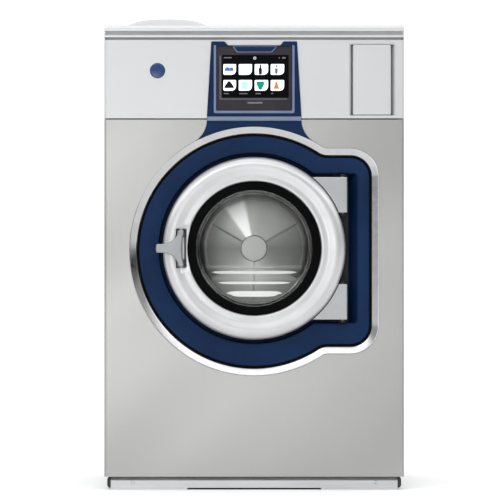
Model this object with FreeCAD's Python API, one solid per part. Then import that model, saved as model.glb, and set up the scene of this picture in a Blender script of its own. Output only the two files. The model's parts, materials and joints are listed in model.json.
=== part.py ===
"""Free-standing commercial front-loading laundry machine, in millimetres.

+Z is up and -Y is the front. The origin is the centre of the footprint at the floor.
The drum turns about a line along Y. "Depth" below is the distance behind the front
panel's outer face, and depth_y() turns it into a Y value.
"""
import FreeCAD
import Part
import math
import os

V = FreeCAD.Vector

# ---------------------------------------------------------------- driving dimensions
# Cabinet
cabinet_width = 720.0
cabinet_height = 1115.0
overall_depth = 690.0
front_projection = 47.0      # door handle in front of the panels
rear_projection = 40.0       # drain pipe and valve stubs behind the rear panel
sheet = 1.5                  # front sheets and the top cover
side_sheet = 1.2             # side and rear sheets
edge_radius = 6.0            # folded vertical edges of the front sheets
return_depth = 25.0          # folded sides of the front sheets
panel_gap = 3.0
part_gap = 0.3               # between flat pieces that meet
curved_gap = 0.7             # between round pieces that meet
screw_head_r = 4.8
screw_head_h = 2.6
screw_shank_r = 2.5
screw_length = 9.0
# Base
base_height = 31.0
floor_plate_t = 4.3
floor_plate_width = 184.0
floor_plate_length = 120.0
anchor_hole_r = 6.5
anchor_inset_x = 110.0       # anchor hole from the cabinet's side
anchor_inset_y = 90.0        # anchor hole from the front and rear panels
base_inset = 15.5            # base channel ends, inside the cabinet's sides
base_screw_x = 292.0
base_screw_z = 17.0
channel_width = 42.0
rail_inset = 8.0             # front and rear rails inside the panels
channel_t = 2.5
# Top cover and control panel
cover_height = 29.5
cover_gap = 6.0
fascia_height = 188.0
bulge_height = 30.0
bulge_radius = 104.0
bulge_x = -214.0
bulge_depth = 285.0
# Door opening in the front panel
axis_height = 579.4          # drum and door axis
opening_drop = 6.5           # the opening's centre below the door's
surround_width = 52.0        # blue surround between the recess and the opening
opening_corner = 50.0
opening_blend = 45.0
bevel_width = 18.7
bevel_depth = 13.0
# Door recess
recess_clearance = 10.0      # round the door
hinge_clearance = 8.5        # above and below the hinge arms
recess_slope = 19.0          # hinge-side wall leans out by this much
recess_corner = 8.0
recess_blend = 20.0
recess_floor = 37.0
surround_face = 2.0
surround_wall = 3.0
throat_clearance = 12.2      # throat outside the ring's inner edge
frame_plate_depth = 41.0
frame_plate_t = 2.0
gasket_t = 4.0
# Door
porthole_radius = 139.0
seal_width = 21.3            # rubber ring round the glass
ring_width = 58.7            # silver ring
door_skin = 2.5
door_back = 4.0
door_back_t = 3.0
glass_t = 5.0
glass_depth = 82.0
glass_taper = 15.0           # bowl's bottom, smaller than the porthole
chute_drop = 46.0            # the bowl's lower side slopes from here, below the axis
chute_depth = 24.0           # to this depth at its lowest edge
door_open_angle = 140.0
# Hinge
hinge_inset = 7.0            # hinge axis inside the door's edge
hinge_depth = -9.0
hinge_pin_r = 4.0
hinge_lug_r = 7.0
hinge_arm_end = 11.0         # arms beyond the hinge axis
hinge_arm_length = 123.0
hinge_arm_low = 85.3         # arms' ends, from the axis height
hinge_arm_high = 171.0
hinge_arm_front = -19.5
hinge_arm_back = 1.5
running_gap = 0.05
# Handle
handle_pin_inset = 43.0      # handle's pin inside the door's edge
handle_pin_depth = -22.0
handle_pin_r = 4.0
handle_knuckle_r = 8.0
handle_reach = 16.0          # handle's tip outside the door's edge
handle_plate_t = 10.5
handle_half_height = 44.0
# Lock
hook_inset = 19.0            # latch hook inside the door's edge
hook_tip = 56.0
lock_pin_r = 3.0
# Display
ui_top = 1075.9
ui_half_top = 102.8
ui_half_bottom = 113.4
ui_bezel_half = 90.0
ui_bezel_low = 908.0
ui_bezel_high = 1064.4
ui_ledge_low = 885.0
ui_ledge_high = 896.0
ui_proud = 4.0
tongue_half_top = 72.5       # the control panel's tongue into the display surround
tongue_half_low = 62.6
tongue_height = 9.4
skirt_blend = 60.0           # flare of the display surround onto the ring
screen_x = 3.0
screen_half = 80.0
screen_low = 941.0
screen_high = 1043.5
# Detergent drawer
drawer_x = 282.7
drawer_width = 89.8
drawer_low = 900.0
drawer_high = 1068.0
drawer_hole_left = 228.7
drawer_hole_right = 338.4
drawer_hole_low = 898.3
drawer_hole_high = 1072.3
drawer_length = 300.0
drawer_wall = 2.5
# Drum and tub
drum_radius = 260.0
drum_front = 97.0
drum_length = 306.0
drum_sheet = 1.5
mouth_step = 1.0             # drum's mouth, smaller than the tub's neck
tub_radius = 286.5
tub_sheet = 2.0
tub_front = 90.0
tub_rear = 430.0
neck_step = 5.5              # tub's neck, smaller than the throat
gable_t = 4.0
heater_r = 5.0
shaft_r = 20.0
bearing_r = 40.0
bearing_width = 20.0
housing_end = 516.0
pulley_radius = 150.0
motor_pulley_radius = 20.0
pulley_front = 526.0
pulley_width = 18.0
belt_t = 4.0
motor_x = -90.0
motor_z = 186.0
motor_radius = 72.0
motor_length = 150.0
# Suspension
spring_x = 250.0
damper_x = 196.0
cradle_foot_z = 190.0
spring_radius = 26.0
spring_wire_r = 4.5
spring_turns = 6
damper_r = 14.0
damper_rod_r = 6.0
# Vents in the rear panel
vent_rows = 8
vent_pitch = 16.0
vent_width = 6.0
vent_length = 120.0
vent_top = 460.0
# Mains cable gland
gland_r = 12.0
gland_x = -250.0
gland_z = 980.0
# Drain and water
drain_x = 120.0
drain_depth = 300.0
drain_z = 110.0
drain_pipe_r = 37.5
inlet_r = 13.2
stub_step = 2.0              # pipe and valve stubs reach full size this far behind the rear panel
stub_length = 22.0
inlet_z = 1020.0
inlet_pitch = 38.0
hose_depth = 250.0           # detergent hose behind the front panel
hose_inset = 36.0            # detergent hose from the drawer's middle

# ---------------------------------------------------------------- derived places
front_y = -overall_depth / 2 + front_projection
rear_y = overall_depth / 2 - rear_projection
cabinet_depth = rear_y - front_y
half_w = cabinet_width / 2
cover_low = cabinet_height - cover_height
fascia_top = cover_low - cover_gap
fascia_low = fascia_top - fascia_height
panel_top = fascia_low - panel_gap
inner_w = half_w - side_sheet
opening_z = axis_height - opening_drop
door_inner_radius = porthole_radius + seal_width
door_radius = door_inner_radius + ring_width
recess_radius = door_radius + recess_clearance
recess_half_height = hinge_arm_high + hinge_clearance
opening_radius = recess_radius + surround_width
opening_half_height = recess_half_height + surround_width - 3.0
throat_radius = door_inner_radius + throat_clearance
tub_neck_r = throat_radius - neck_step
drum_mouth = tub_neck_r - mouth_step
glass_bottom_radius = porthole_radius - glass_taper
hinge_x = door_radius - hinge_inset
hinge_arm_right = hinge_x + hinge_arm_end
hinge_arm_left = hinge_arm_right - hinge_arm_length
handle_pin_x = handle_pin_inset - door_radius
handle_tip = -door_radius - handle_reach
hook_x = hook_inset - door_radius
drum_rear = drum_front + drum_length
rise = cabinet_height - 1115.0     # keeps the display and the drawer under the cover
spring_depths = (132.0, 392.0)
hose_x = drawer_x - hose_inset
crossbar_low = cover_low - 178.0

parts = {}


def add(name, *solids):
    parts.setdefault(name, []).extend(solids)


def valve_x(k):
    """Middle of water valve k, counted from the left."""
    return drawer_x + inlet_pitch * (k - 1)


def depth_y(depth):
    return front_y + depth


# ---------------------------------------------------------------- shape helpers
def box(x0, x1, d0, d1, z0, z1):
    return Part.makeBox(x1 - x0, d1 - d0, z1 - z0, V(x0, depth_y(d0), z0))


def barrel(radius, d0, d1, x=0.0, z=None):
    """A cylinder along Y."""
    height = axis_height if z is None else z
    return Part.makeCylinder(radius, d1 - d0, V(x, depth_y(d0), height), V(0, 1, 0))


def tube(r_out, r_in, d0, d1, x=0.0, z=None):
    return barrel(r_out, d0, d1, x, z).cut(barrel(r_in, d0 - 1, d1 + 1, x, z))


def post(radius, z0, z1, x, depth):
    """A cylinder along Z."""
    return Part.makeCylinder(radius, z1 - z0, V(x, depth_y(depth), z0), V(0, 0, 1))


def crossbar(radius, x0, x1, depth, z):
    """A cylinder along X."""
    return Part.makeCylinder(radius, x1 - x0, V(x0, depth_y(depth), z), V(1, 0, 0))


def closed(points):
    return Part.makePolygon(points + points[:1])


def turned(profile):
    """A solid turned about the drum axis from (radius, depth) corners."""
    wire = closed([V(r, depth_y(d), axis_height) for r, d in profile])
    return Part.Face(wire).revolve(V(0, 0, axis_height), V(0, 1, 0), 360)


def plate_xz(points, d0, d1):
    """A flat plate facing the front, from (x, z) corners."""
    wire = closed([V(x, depth_y(d0), z) for x, z in points])
    return Part.Face(wire).extrude(V(0, d1 - d0, 0))


def profile_x(points, x0, x1):
    """A bar along X from (depth, z) corners."""
    wire = closed([V(x0, depth_y(d), z) for d, z in points])
    return Part.Face(wire).extrude(V(x1 - x0, 0, 0))


def fuse(first, *others):
    return first.multiFuse(list(others)).removeSplitter()


def cut(shape, *tools):
    for tool in tools:
        shape = shape.cut(tool)
    return shape


def arc(a, mid, b):
    return Part.Arc(a, mid, b).toShape()


def keyhole(radius, half_height, right, corner, blend, centre_z, depth):
    """Outline of a circle joined to a squared right-hand side, as one tangent wire."""
    y = depth_y(depth)
    blend_x = math.sqrt((radius + blend) ** 2 - (half_height + blend) ** 2)
    angle = math.atan2(half_height + blend, blend_x)

    def at(x, z):
        return V(x, y, centre_z + z)

    def on(cx, cz, r, a):
        return at(cx + r * math.cos(a), cz + r * math.sin(a))

    edges = []
    top = on(0, 0, radius, angle)
    bottom = on(0, 0, radius, -angle)
    edges.append(arc(top, at(-radius, 0), bottom))
    for side in (-1, 1):
        cz = side * (half_height + blend)
        tangent = at(blend_x, side * half_height)
        middle = on(blend_x, cz, blend, -side * (math.pi / 2 + (math.pi / 2 - angle) / 2))
        corner_x = right - corner
        corner_z = side * (half_height - corner)
        bend = [at(corner_x, side * half_height), on(corner_x, corner_z, corner, side * math.pi / 4),
                at(right, corner_z)]
        if side < 0:
            edges.append(arc(bottom, middle, tangent))
            edges.append(Part.LineSegment(tangent, bend[0]).toShape())
            edges.append(arc(*bend))
            edges.append(Part.LineSegment(bend[2], at(right, half_height - corner)).toShape())
        else:
            edges.append(arc(bend[2], bend[1], bend[0]))
            edges.append(Part.LineSegment(bend[0], tangent).toShape())
            edges.append(arc(tangent, middle, top))
    return Part.Wire(edges)


def opening_wire(offset, depth):
    return keyhole(opening_radius + offset, opening_half_height + offset, opening_radius + offset,
                   opening_corner + offset, opening_blend - offset, opening_z, depth)


def recess_wire(offset, depth, lean):
    return keyhole(recess_radius + offset, recess_half_height + offset, recess_radius + offset + lean,
                   recess_corner + max(offset, 0), recess_blend - offset, axis_height, depth)


def opening_plug(offset, d0, d1):
    return Part.Face(opening_wire(offset, d0)).extrude(V(0, d1 - d0, 0))


def recess_plug(offset, d0, d1):
    """The recess as a solid; its hinge-side wall leans out towards the front."""
    depth_span = recess_floor - surround_face
    lean = [recess_slope * (recess_floor - d) / depth_span for d in (d0, d1)]
    return Part.makeLoft([recess_wire(offset, d0, lean[0]), recess_wire(offset, d1, lean[1])], True, True)


def wrapped_sheet(z0, z1):
    """A front sheet with rounded vertical edges, folded back at the sides, top and bottom."""
    outer = box(-half_w, half_w, 0, return_depth, z0, z1)
    edges = [e for e in outer.Edges if abs(e.BoundBox.ZLength - (z1 - z0)) < 0.01
             and abs(e.BoundBox.YMin - front_y) < 0.01]
    outer = outer.makeFillet(edge_radius, edges)
    inner = box(-half_w + sheet, half_w - sheet, sheet, return_depth + 1, z0 + sheet, z1 - sheet)
    edges = [e for e in inner.Edges if abs(e.BoundBox.ZLength - (z1 - z0 - 2 * sheet)) < 0.01
             and abs(e.BoundBox.YMin - (front_y + sheet)) < 0.01]
    inner = inner.makeFillet(edge_radius - sheet, edges)
    trim = box(-half_w + 4 * sheet, half_w - 4 * sheet, 14, return_depth + 1, z0 - 1, z1 + 1)
    return cut(outer, inner, trim)


def channel(x0, x1, d0, d1, z0, z1):
    """A rectangular steel section, open at the bottom."""
    t = channel_t
    return box(x0, x1, d0, d1, z0, z1).cut(box(x0 + t, x1 - t, d0 + t, d1 - t, z0 - 1, z1 - t))


def screw(x, depth, z, outwards):
    """A round-headed screw along Y; outwards is -1 at the front and +1 at the rear."""
    y = depth_y(depth) + outwards * 0.02
    way = V(0, outwards, 0)
    head = Part.makeCylinder(screw_head_r, screw_head_h, V(x, y, z), way)
    rim = [e for e in head.Edges if abs(e.BoundBox.YMin - y) > screw_head_h / 2]
    head = head.makeFillet(screw_head_h * 0.6, [e for e in rim if e.BoundBox.YLength < 0.01])
    socket_y = y + outwards * screw_head_h * 0.5
    socket = Part.makeCylinder(screw_head_r * 0.42, screw_head_h, V(x, socket_y, z), way)
    shank = Part.makeCylinder(screw_shank_r, screw_length, V(x, y, z), V(0, -outwards, 0))
    return fuse(head.cut(socket), shank)


# ---------------------------------------------------------------- base
def base():
    end = half_w - base_inset
    low = floor_plate_t
    shoulder = base_height - 9.0
    inside = rail_inset + channel_width
    t = channel_t
    front = profile_x([(rail_inset, low), (rail_inset, shoulder), (rail_inset + 8, base_height),
                       (inside, base_height), (inside, low)], -end, end)
    hollow = profile_x([(rail_inset + t, low - 1), (rail_inset + t, shoulder - 1),
                        (rail_inset + 9, base_height - t),
                        (inside - t, base_height - t), (inside - t, low - 1)], -end + t, end - t)
    front = front.cut(hollow)
    for side in (-1, 1):
        front = front.cut(barrel(screw_shank_r + 0.05, 0, 14, side * base_screw_x, base_screw_z))
    rear_d = cabinet_depth - rail_inset
    members = [channel(-end, end, rear_d - channel_width, rear_d, low, base_height)]
    for side in (-1, 1):
        x0, x1 = sorted((side * end, side * (end - channel_width)))
        members.append(channel(x0, x1, inside, rear_d - channel_width, low, base_height))
    for depth in spring_depths:
        members.append(channel(-end + channel_width, end - channel_width, depth - 36, depth + 36, 8.0,
                               base_height))
    plates = []
    for side in (-1, 1):
        x0, x1 = sorted((side * end, side * (end - floor_plate_width)))
        hole_x = side * (half_w - anchor_inset_x)
        for d0, hole_d in ((rail_inset, anchor_inset_y),
                           (rear_d - floor_plate_length, cabinet_depth - anchor_inset_y)):
            plate = box(x0, x1, d0, d0 + floor_plate_length, 0, low)
            plates.append(plate.cut(post(anchor_hole_r, -1, low + 1, hole_x, hole_d)))
    add("base_frame", fuse(front, *members, *plates))

    caps = []
    for side in (-1, 1):
        for d0 in (rail_inset, rear_d - channel_width):
            x0, x1 = sorted((side * (end + part_gap), side * (end + 8.5)))
            cap = box(x0, x1, d0, d0 + channel_width, floor_plate_t, base_height)
            outer = [e for e in cap.Edges if abs(e.BoundBox.YLength - channel_width) < 0.01
                     and abs(abs(e.BoundBox.XMin) - (end + 8.5)) < 0.01]
            caps.append(cap.makeFillet(7.5, outer))
    add("base_end_caps", *caps)

    for side in (-1, 1):
        add("cabinet_screws", screw(side * base_screw_x, rail_inset, base_screw_z, -1))


# ---------------------------------------------------------------- cabinet sheets
def side_panels():
    for name, side in (("side_panel_left", -1), ("side_panel_right", 1)):
        x0, x1 = sorted((side * half_w, side * inner_w))
        sheet_body = box(x0, x1, return_depth + part_gap, cabinet_depth - side_sheet - part_gap,
                         base_height + part_gap, cover_low - part_gap)
        f0, f1 = sorted((side * inner_w, side * (inner_w - 14)))
        front_flange = box(f0, f1, return_depth + part_gap, return_depth + part_gap + side_sheet,
                           base_height + part_gap, cover_low - part_gap)
        foot = box(f0, f1, return_depth + part_gap, cabinet_depth - side_sheet - part_gap,
                   base_height + part_gap, base_height + part_gap + side_sheet)
        add(name, fuse(sheet_body, front_flange, foot))


def front_panel():
    panel = wrapped_sheet(base_height + part_gap, panel_top)
    panel = panel.cut(opening_plug(bevel_width, -1, sheet + 1))
    skirt = Part.Face(skirt_wire(0.0, -ui_proud - 1)).extrude(V(0, ui_proud + sheet + 8, 0))
    panel = panel.cut(skirt)
    notch = box(-ui_half_bottom - part_gap, ui_half_bottom + part_gap, -1, return_depth,
                panel_top - 20, panel_top + 1)
    add("front_panel", panel.cut(notch))

    outer = Part.makeLoft([opening_wire(bevel_width - curved_gap, 0), opening_wire(1.2, bevel_depth)],
                          True, True)
    inner = Part.makeLoft([opening_wire(bevel_width - curved_gap - 2.2, -0.01),
                           opening_wire(0.2 + part_gap, bevel_depth - 0.6)], True, True)
    lip = opening_plug(1.2 + sheet, bevel_depth, bevel_depth + 12).cut(
        opening_plug(1.2, bevel_depth - 1, bevel_depth + 13))
    collar = opening_plug(1.2 + sheet, bevel_depth - 1.5, bevel_depth).cut(
        opening_plug(0.2 + part_gap, bevel_depth - 3, bevel_depth + 1))
    trim = outer.cut(inner).cut(opening_plug(0.2 + part_gap, bevel_depth - 3, bevel_depth + 1))
    add("opening_trim", fuse(trim, collar, lip))


def skirt_wire(shrink, depth):
    """The display surround's lower part, flaring out onto the ring round the door."""
    y = depth_y(depth)
    radius = opening_radius + bevel_width - shrink
    top = ui_ledge_low + rise + 15
    half = ui_half_bottom + part_gap - shrink
    blend = skirt_blend + shrink
    centre_x = half + blend
    centre_z = opening_z + math.sqrt((radius + blend) ** 2 - centre_x ** 2)
    lean = math.atan2(centre_x, centre_z - opening_z)
    tip_x, tip_z = radius * math.sin(lean), opening_z + radius * math.cos(lean)
    swing = math.atan2(centre_z - tip_z, centre_x - tip_x) / 2
    mid_x, mid_z = centre_x - blend * math.cos(swing), centre_z - blend * math.sin(swing)
    edges = [Part.LineSegment(V(half, y, top), V(-half, y, top)).toShape(),
             Part.LineSegment(V(-half, y, top), V(-half, y, centre_z)).toShape(),
             arc(V(-half, y, centre_z), V(-mid_x, y, mid_z), V(-tip_x, y, tip_z)),
             arc(V(-tip_x, y, tip_z), V(0, y, opening_z + radius), V(tip_x, y, tip_z)),
             arc(V(tip_x, y, tip_z), V(mid_x, y, mid_z), V(half, y, centre_z)),
             Part.LineSegment(V(half, y, centre_z), V(half, y, top)).toShape()]
    return Part.Wire(edges)


def control_panel():
    panel = wrapped_sheet(fascia_low, fascia_top)
    bottom, top, high = ui_half_bottom + part_gap, ui_half_top + part_gap, ui_top + rise + part_gap
    ui_hole = plate_xz([(-bottom, fascia_low - 1), (-top, high), (top, high), (bottom, fascia_low - 1)],
                       -1, return_depth)
    notch = plate_xz(notch_outline(), -1, sheet)
    drawer_hole = box(drawer_hole_left, drawer_hole_right, -1, sheet + 1,
                      drawer_hole_low + rise, drawer_hole_high + rise)
    add("control_panel", panel.cut(ui_hole.cut(notch)).cut(drawer_hole))


def notch_outline():
    """The light-coloured tongue at the top edge of the display surround."""
    top = ui_top + rise + part_gap + 2
    low = ui_top + rise - tongue_height + part_gap
    low_half = tongue_half_low - 2 * part_gap / 3
    return [(-tongue_half_top, top), (-low_half, low), (low_half, low), (tongue_half_top, top)]


def top_cover():
    back = cabinet_depth
    face = [(0, cabinet_height - 2.5), (0, cabinet_height - 14.0), (5.0, cabinet_height - 22.5),
            (2.0, cabinet_height - 25.0), (2.0, cover_low)]
    outer_back = [(back, cover_low), (back, cabinet_height)]
    outer = profile_x([(2.5, cabinet_height)] + face + outer_back, -half_w, half_w)
    t = sheet
    inner_face = [(t, cabinet_height - 3.0), (t, cabinet_height - 13.4), (5.0 + t, cabinet_height - 22.1),
                  (2.0 + t, cabinet_height - 25.4), (2.0 + t, cover_low - 1)]
    inner_back = [(back - t, cover_low - 1), (back - t, cabinet_height - t)]
    inner = profile_x([(3.0, cabinet_height - t)] + inner_face + inner_back, -half_w + t, half_w - t)
    y = depth_y(bulge_depth)

    def bell(drop):
        steps = 12
        points = [V(bulge_x + bulge_radius * k / steps, y,
                    cabinet_height - drop + bulge_height * math.cos(math.pi * k / steps / 2) ** 4)
                  for k in range(steps + 1)]
        curve = Part.BSplineCurve()
        curve.interpolate(points)
        return curve.toShape(), points[0], points[-1]

    top_curve, top_mid, top_end = bell(0.0)
    low_curve, low_mid, low_end = bell(t)
    wire = Part.Wire([top_curve, Part.LineSegment(top_end, low_end).toShape(), low_curve,
                      Part.LineSegment(low_mid, top_mid).toShape()])
    shell = Part.Face(wire).revolve(V(bulge_x, y, 0), V(0, 0, 1), 360)
    hole = post(bulge_radius, cabinet_height - 3 * t, cabinet_height + 1, bulge_x, bulge_depth)
    cover = outer.cut(inner).cut(hole)
    add("top_cover", fuse(cover, shell))


def rear_panels():
    split = axis_height + 10
    t = side_sheet
    d0 = cabinet_depth - t
    d1 = cabinet_depth + 1
    lower = box(-half_w, half_w, d0, cabinet_depth, base_height + part_gap, split - panel_gap / 2)
    upper = box(-half_w, half_w, d0, cabinet_depth, split + panel_gap / 2, cover_low - part_gap)
    lower = lower.cut(barrel(drain_pipe_r + part_gap, d0 - 1, d1, drain_x, drain_z))
    for row in range(vent_rows):
        z = vent_top - vent_pitch * row
        for x0 in (-vent_length / 2 - 155.0, -vent_length / 2, -vent_length / 2 + 155.0):
            lower = lower.cut(box(x0, x0 + vent_length, d0 - 1, d1, z, z + vent_width))
    for k in range(3):
        upper = upper.cut(barrel(inlet_r + part_gap, d0 - 1, d1, valve_x(k), inlet_z + rise))
    upper = upper.cut(barrel(gland_r + part_gap, d0 - 1, d1, gland_x, gland_z + rise))
    x_edge, z_low, z_high = half_w - 16.0, base_height + 20.0, cover_low - 20.0
    for x in (-x_edge, -half_w / 3, half_w / 3, x_edge):
        rows = [split - 14, split + 14, z_high] + ([z_low] if abs(x) == x_edge else [])
        for z in rows:
            hole = barrel(screw_shank_r + 0.05, d0 - 1, d1, x, z)
            lower = lower.cut(hole)
            upper = upper.cut(hole)
            add("cabinet_screws", screw(x, cabinet_depth, z, 1))
    add("rear_panels", lower, upper)


# ---------------------------------------------------------------- door surround and frame plate
def door_surround():
    face = surround_face
    body = opening_plug(-part_gap, face, recess_floor - 7)
    rim = [e for e in body.Edges if e.BoundBox.YMax < depth_y(face) + 0.01]
    body = body.makeFillet(9.0, rim)
    hollow = opening_plug(-surround_wall - part_gap, face + 4.5, recess_floor)
    inner_wall = recess_plug(surround_wall, face, recess_floor)
    body = body.cut(hollow.cut(recess_plug(surround_wall, face, recess_floor + 1)))
    body = fuse(body, inner_wall)
    body = body.cut(recess_plug(0, face - 1, recess_floor + 0.01))
    floor = recess_plug(surround_wall, recess_floor, recess_floor + surround_wall)
    slot = box(hook_x - 14, hook_x + 10, recess_floor - 1, recess_floor + surround_wall + 1,
               axis_height - 12, axis_height + 12)
    floor = cut(floor, barrel(throat_radius, recess_floor - 1, recess_floor + surround_wall + 1), slot)
    add("door_surround", fuse(body, floor))


def inner_frame():
    d0, d1 = frame_plate_depth, frame_plate_depth + frame_plate_t
    reach = opening_radius + 4
    plate = box(-inner_w + part_gap, inner_w - part_gap, d0, d1, axis_height - reach, axis_height + reach)
    slot = box(hook_x - 14, hook_x + 10, d0 - 1, d1 + 1, axis_height - 12, axis_height + 12)
    plate = cut(plate, barrel(throat_radius, d0 - 1, d1 + 1), slot)
    for side in (-1, 1):
        x0, x1 = sorted((side * (inner_w - part_gap), side * (inner_w - part_gap - sheet)))
        flange = box(x0, x1, d1, d1 + 20, axis_height - reach, axis_height + reach)
        stay0, stay1 = sorted((side * reach, side * (reach + 20)))
        plate = fuse(plate, flange)
        plate = fuse(plate, box(stay0, stay1, bevel_depth + 13, d0, axis_height - 160, axis_height + 160))
    add("inner_frame", plate)
    for depth, right in ((70.0, 200.0), (440.0, inner_w - part_gap)):
        add("inner_frame", channel(-inner_w + part_gap, right, depth, depth + 30, crossbar_low,
                                   crossbar_low + 18))


def hinge_bracket():
    low, high = hinge_arm_low - 0.8, hinge_arm_high + 1.0
    plate = box(hinge_x - 22, hinge_x + 14, recess_floor - 4, recess_floor - part_gap,
                axis_height - high - 6, axis_height + high + 6)
    lugs = []
    pins = []
    for side in (-1, 1):
        spans = (sorted((side * (low - 6.5), side * low)), sorted((side * high, side * (high + 6))))
        for z0, z1 in spans:
            z0 += axis_height
            z1 += axis_height
            lug = box(hinge_x - hinge_lug_r, hinge_x + hinge_lug_r, hinge_depth, recess_floor - 4, z0, z1)
            lugs.append(fuse(lug, post(hinge_lug_r, z0, z1, hinge_x, hinge_depth)))
        z0, z1 = sorted((axis_height + side * (low - 6.5), axis_height + side * (high + 6)))
        pins.append(post(hinge_pin_r, z0, z1, hinge_x, hinge_depth))
    bracket = fuse(plate, *lugs)
    for pin in pins:
        bracket = bracket.cut(pin)
    add("hinge_bracket", bracket)
    add("hinge_pins", *pins)


def door_lock():
    d0 = frame_plate_depth + frame_plate_t + part_gap
    x0, x1 = hook_x - 22.0, hook_x + 14.5
    housing = box(x0, x1, d0, d0 + 36, axis_height - 30, axis_height + 52)
    cavity = box(hook_x - 15, hook_x + 11, d0 - 1, d0 + 30, axis_height - 16, axis_height + 16)
    bore = post(lock_pin_r + running_gap, axis_height + 15, axis_height + 48, hook_x, 48.0)
    add("door_lock", cut(housing, cavity, bore))
    add("lock_bolt", post(lock_pin_r, axis_height + 16.5, axis_height + 40, hook_x, 48.0))


# ---------------------------------------------------------------- door
def door_ring():
    t = door_skin
    crown = [(0.0, -24.0), (3.7, -28.6), (8.7, -28.4), (15.7, -27.6), (24.7, -31.6), (34.7, -34.0),
             (44.7, -32.6), (52.2, -28.4), (56.7, -23.0), (ring_width, -16.5)]
    under = [(t, -22.6), (4.7, -26.0), (9.2, -25.9), (15.7, -25.1), (25.5, -29.1), (34.7, -31.5),
             (43.3, -30.2), (50.1, -26.4), (54.3, -21.6), (ring_width - t, -16.3)]
    outer_points = [(door_inner_radius + r, d) for r, d in crown]
    inner_points = [(door_inner_radius + r, d) for r, d in under]

    def spline(points, reverse=False):
        nodes = [V(r, depth_y(d), axis_height) for r, d in points]
        curve = Part.BSplineCurve()
        curve.interpolate(nodes[::-1] if reverse else nodes)
        return curve.toShape()

    def point(r, d):
        return V(r, depth_y(d), axis_height)

    edges = [spline(outer_points),
             Part.LineSegment(point(*outer_points[-1]), point(outer_points[-1][0], door_back)).toShape(),
             Part.LineSegment(point(outer_points[-1][0], door_back),
                              point(inner_points[-1][0], door_back)).toShape(),
             Part.LineSegment(point(inner_points[-1][0], door_back), point(*inner_points[-1])).toShape(),
             spline(inner_points, True),
             Part.LineSegment(point(*inner_points[0]), point(inner_points[0][0], -4.0)).toShape(),
             Part.LineSegment(point(inner_points[0][0], -4.0), point(door_inner_radius, -4.0)).toShape(),
             Part.LineSegment(point(door_inner_radius, -4.0), point(*outer_points[0])).toShape()]
    ring = Part.Face(Part.Wire(edges)).revolve(V(0, 0, axis_height), V(0, 1, 0), 360)
    pocket = box(handle_pin_x - 11, handle_pin_x + 11, -40, -12, axis_height - 51, axis_height + 51)
    add("door_ring", ring.cut(pocket))

    back = turned([(door_inner_radius - 9, door_back), (door_radius - t, door_back),
                   (door_radius - 5, door_back + door_back_t),
                   (door_inner_radius - 9, door_back + door_back_t)])
    add("door_back_ring", back)

    bracket = box(handle_pin_x - 10.7, handle_pin_x + 10.7, -12, door_back - 0.01,
                  axis_height - 50.7, axis_height + 50.7)
    for side in (-1, 1):
        z0, z1 = sorted((axis_height + side * 45.6, axis_height + side * 50.7))
        lug = box(handle_pin_x - 6, handle_pin_x + 6, handle_pin_depth, -12, z0, z1)
        bracket = fuse(bracket, lug, post(6.0, z0, z1, handle_pin_x, handle_pin_depth))
    pin = post(handle_pin_r, axis_height - 50.7, axis_height + 50.7, handle_pin_x, handle_pin_depth)
    bracket = bracket.cut(pin)
    add("handle_bracket", bracket, pin)

    hook = box(hook_x - 6, hook_x + 6, door_back + door_back_t, hook_tip, axis_height - 8, axis_height + 8)
    nose = [e for e in hook.Edges
            if abs(e.BoundBox.YMin - depth_y(hook_tip)) < 0.01 and e.BoundBox.ZLength > 10]
    hook = hook.makeFillet(3.0, nose)
    add("latch_hook", hook.cut(post(lock_pin_r + 1.5, axis_height - 9, axis_height + 9, hook_x, 48.0)))

    screws = []
    for angle in (75, 105, 132, 158, 202, 228, 255, 285):
        a = math.radians(angle)
        r = door_radius - 19
        x, z = r * math.cos(a), axis_height + r * math.sin(a)
        d = door_back + door_back_t
        head = barrel(4.5, d, d + 2.5, x, z)
        rim = [e for e in head.Edges
               if abs(e.BoundBox.YMin - depth_y(d + 2.5)) < 0.01 and e.BoundBox.YLength < 0.01]
        screws.append(head.makeFillet(1.2, rim))
    add("door_screws", *screws)


def door_glass():
    r = porthole_radius
    edge = door_inner_radius - 0.1
    seal = turned([(r, -20.0), (r + 3, -22.5), (door_inner_radius - 3, -22.5), (edge, -19.0),
                   (edge, door_back - 0.1), (r + 4, door_back - 0.1), (r + 1, door_back - 2.5),
                   (r + 1, -4.0), (r + 17, -4.0), (r + 17, -10.0), (r, -10.0)])
    add("glass_seal", seal)
    t = glass_t
    flange_front, flange_back = -9.8, -4.2
    bottom = glass_bottom_radius
    slope = (glass_depth - chute_depth) / (r - chute_drop)
    outer = turned([(0, flange_front), (r + 16.8, flange_front), (r + 16.8, flange_back), (r - 1, flange_back),
                    (bottom + 2, glass_depth - 30), (bottom, glass_depth - 12), (bottom - 9, glass_depth),
                    (0, glass_depth)])
    inner = turned([(0, flange_front - 1), (r - 2 - t, flange_front - 1), (r - 2 - t, flange_front),
                    (r - 4 - t, flange_front + 3), (bottom + 2 - t, glass_depth - 30),
                    (bottom - t, glass_depth - t - 9), (bottom - 12, glass_depth - t), (0, glass_depth - t)])

    def chute(back):
        high, low = axis_height - chute_drop, axis_height - r
        return profile_x([(glass_depth - back, high), (chute_depth - back, low),
                          (chute_depth - back - 20 * slope, low - 20), (glass_depth + 60, low - 20),
                          (glass_depth + 60, high)], -r, r)

    wall = t * math.hypot(1, slope)
    bowl = outer.cut(chute(0)).cut(inner.cut(chute(wall)))
    ribs = []
    for drop, height in ((0.45 * r, 4.0), (0.62 * r, 3.0)):
        half = math.sqrt((bottom - 14) ** 2 - drop ** 2)
        d = glass_depth - wall - slope * (drop - chute_drop)
        z = axis_height - drop
        ribs.append(box(-half, half, d - 2, d + 1.5, z - height / 2, z + height / 2))
    add("door_glass", fuse(bowl, *ribs))


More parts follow.
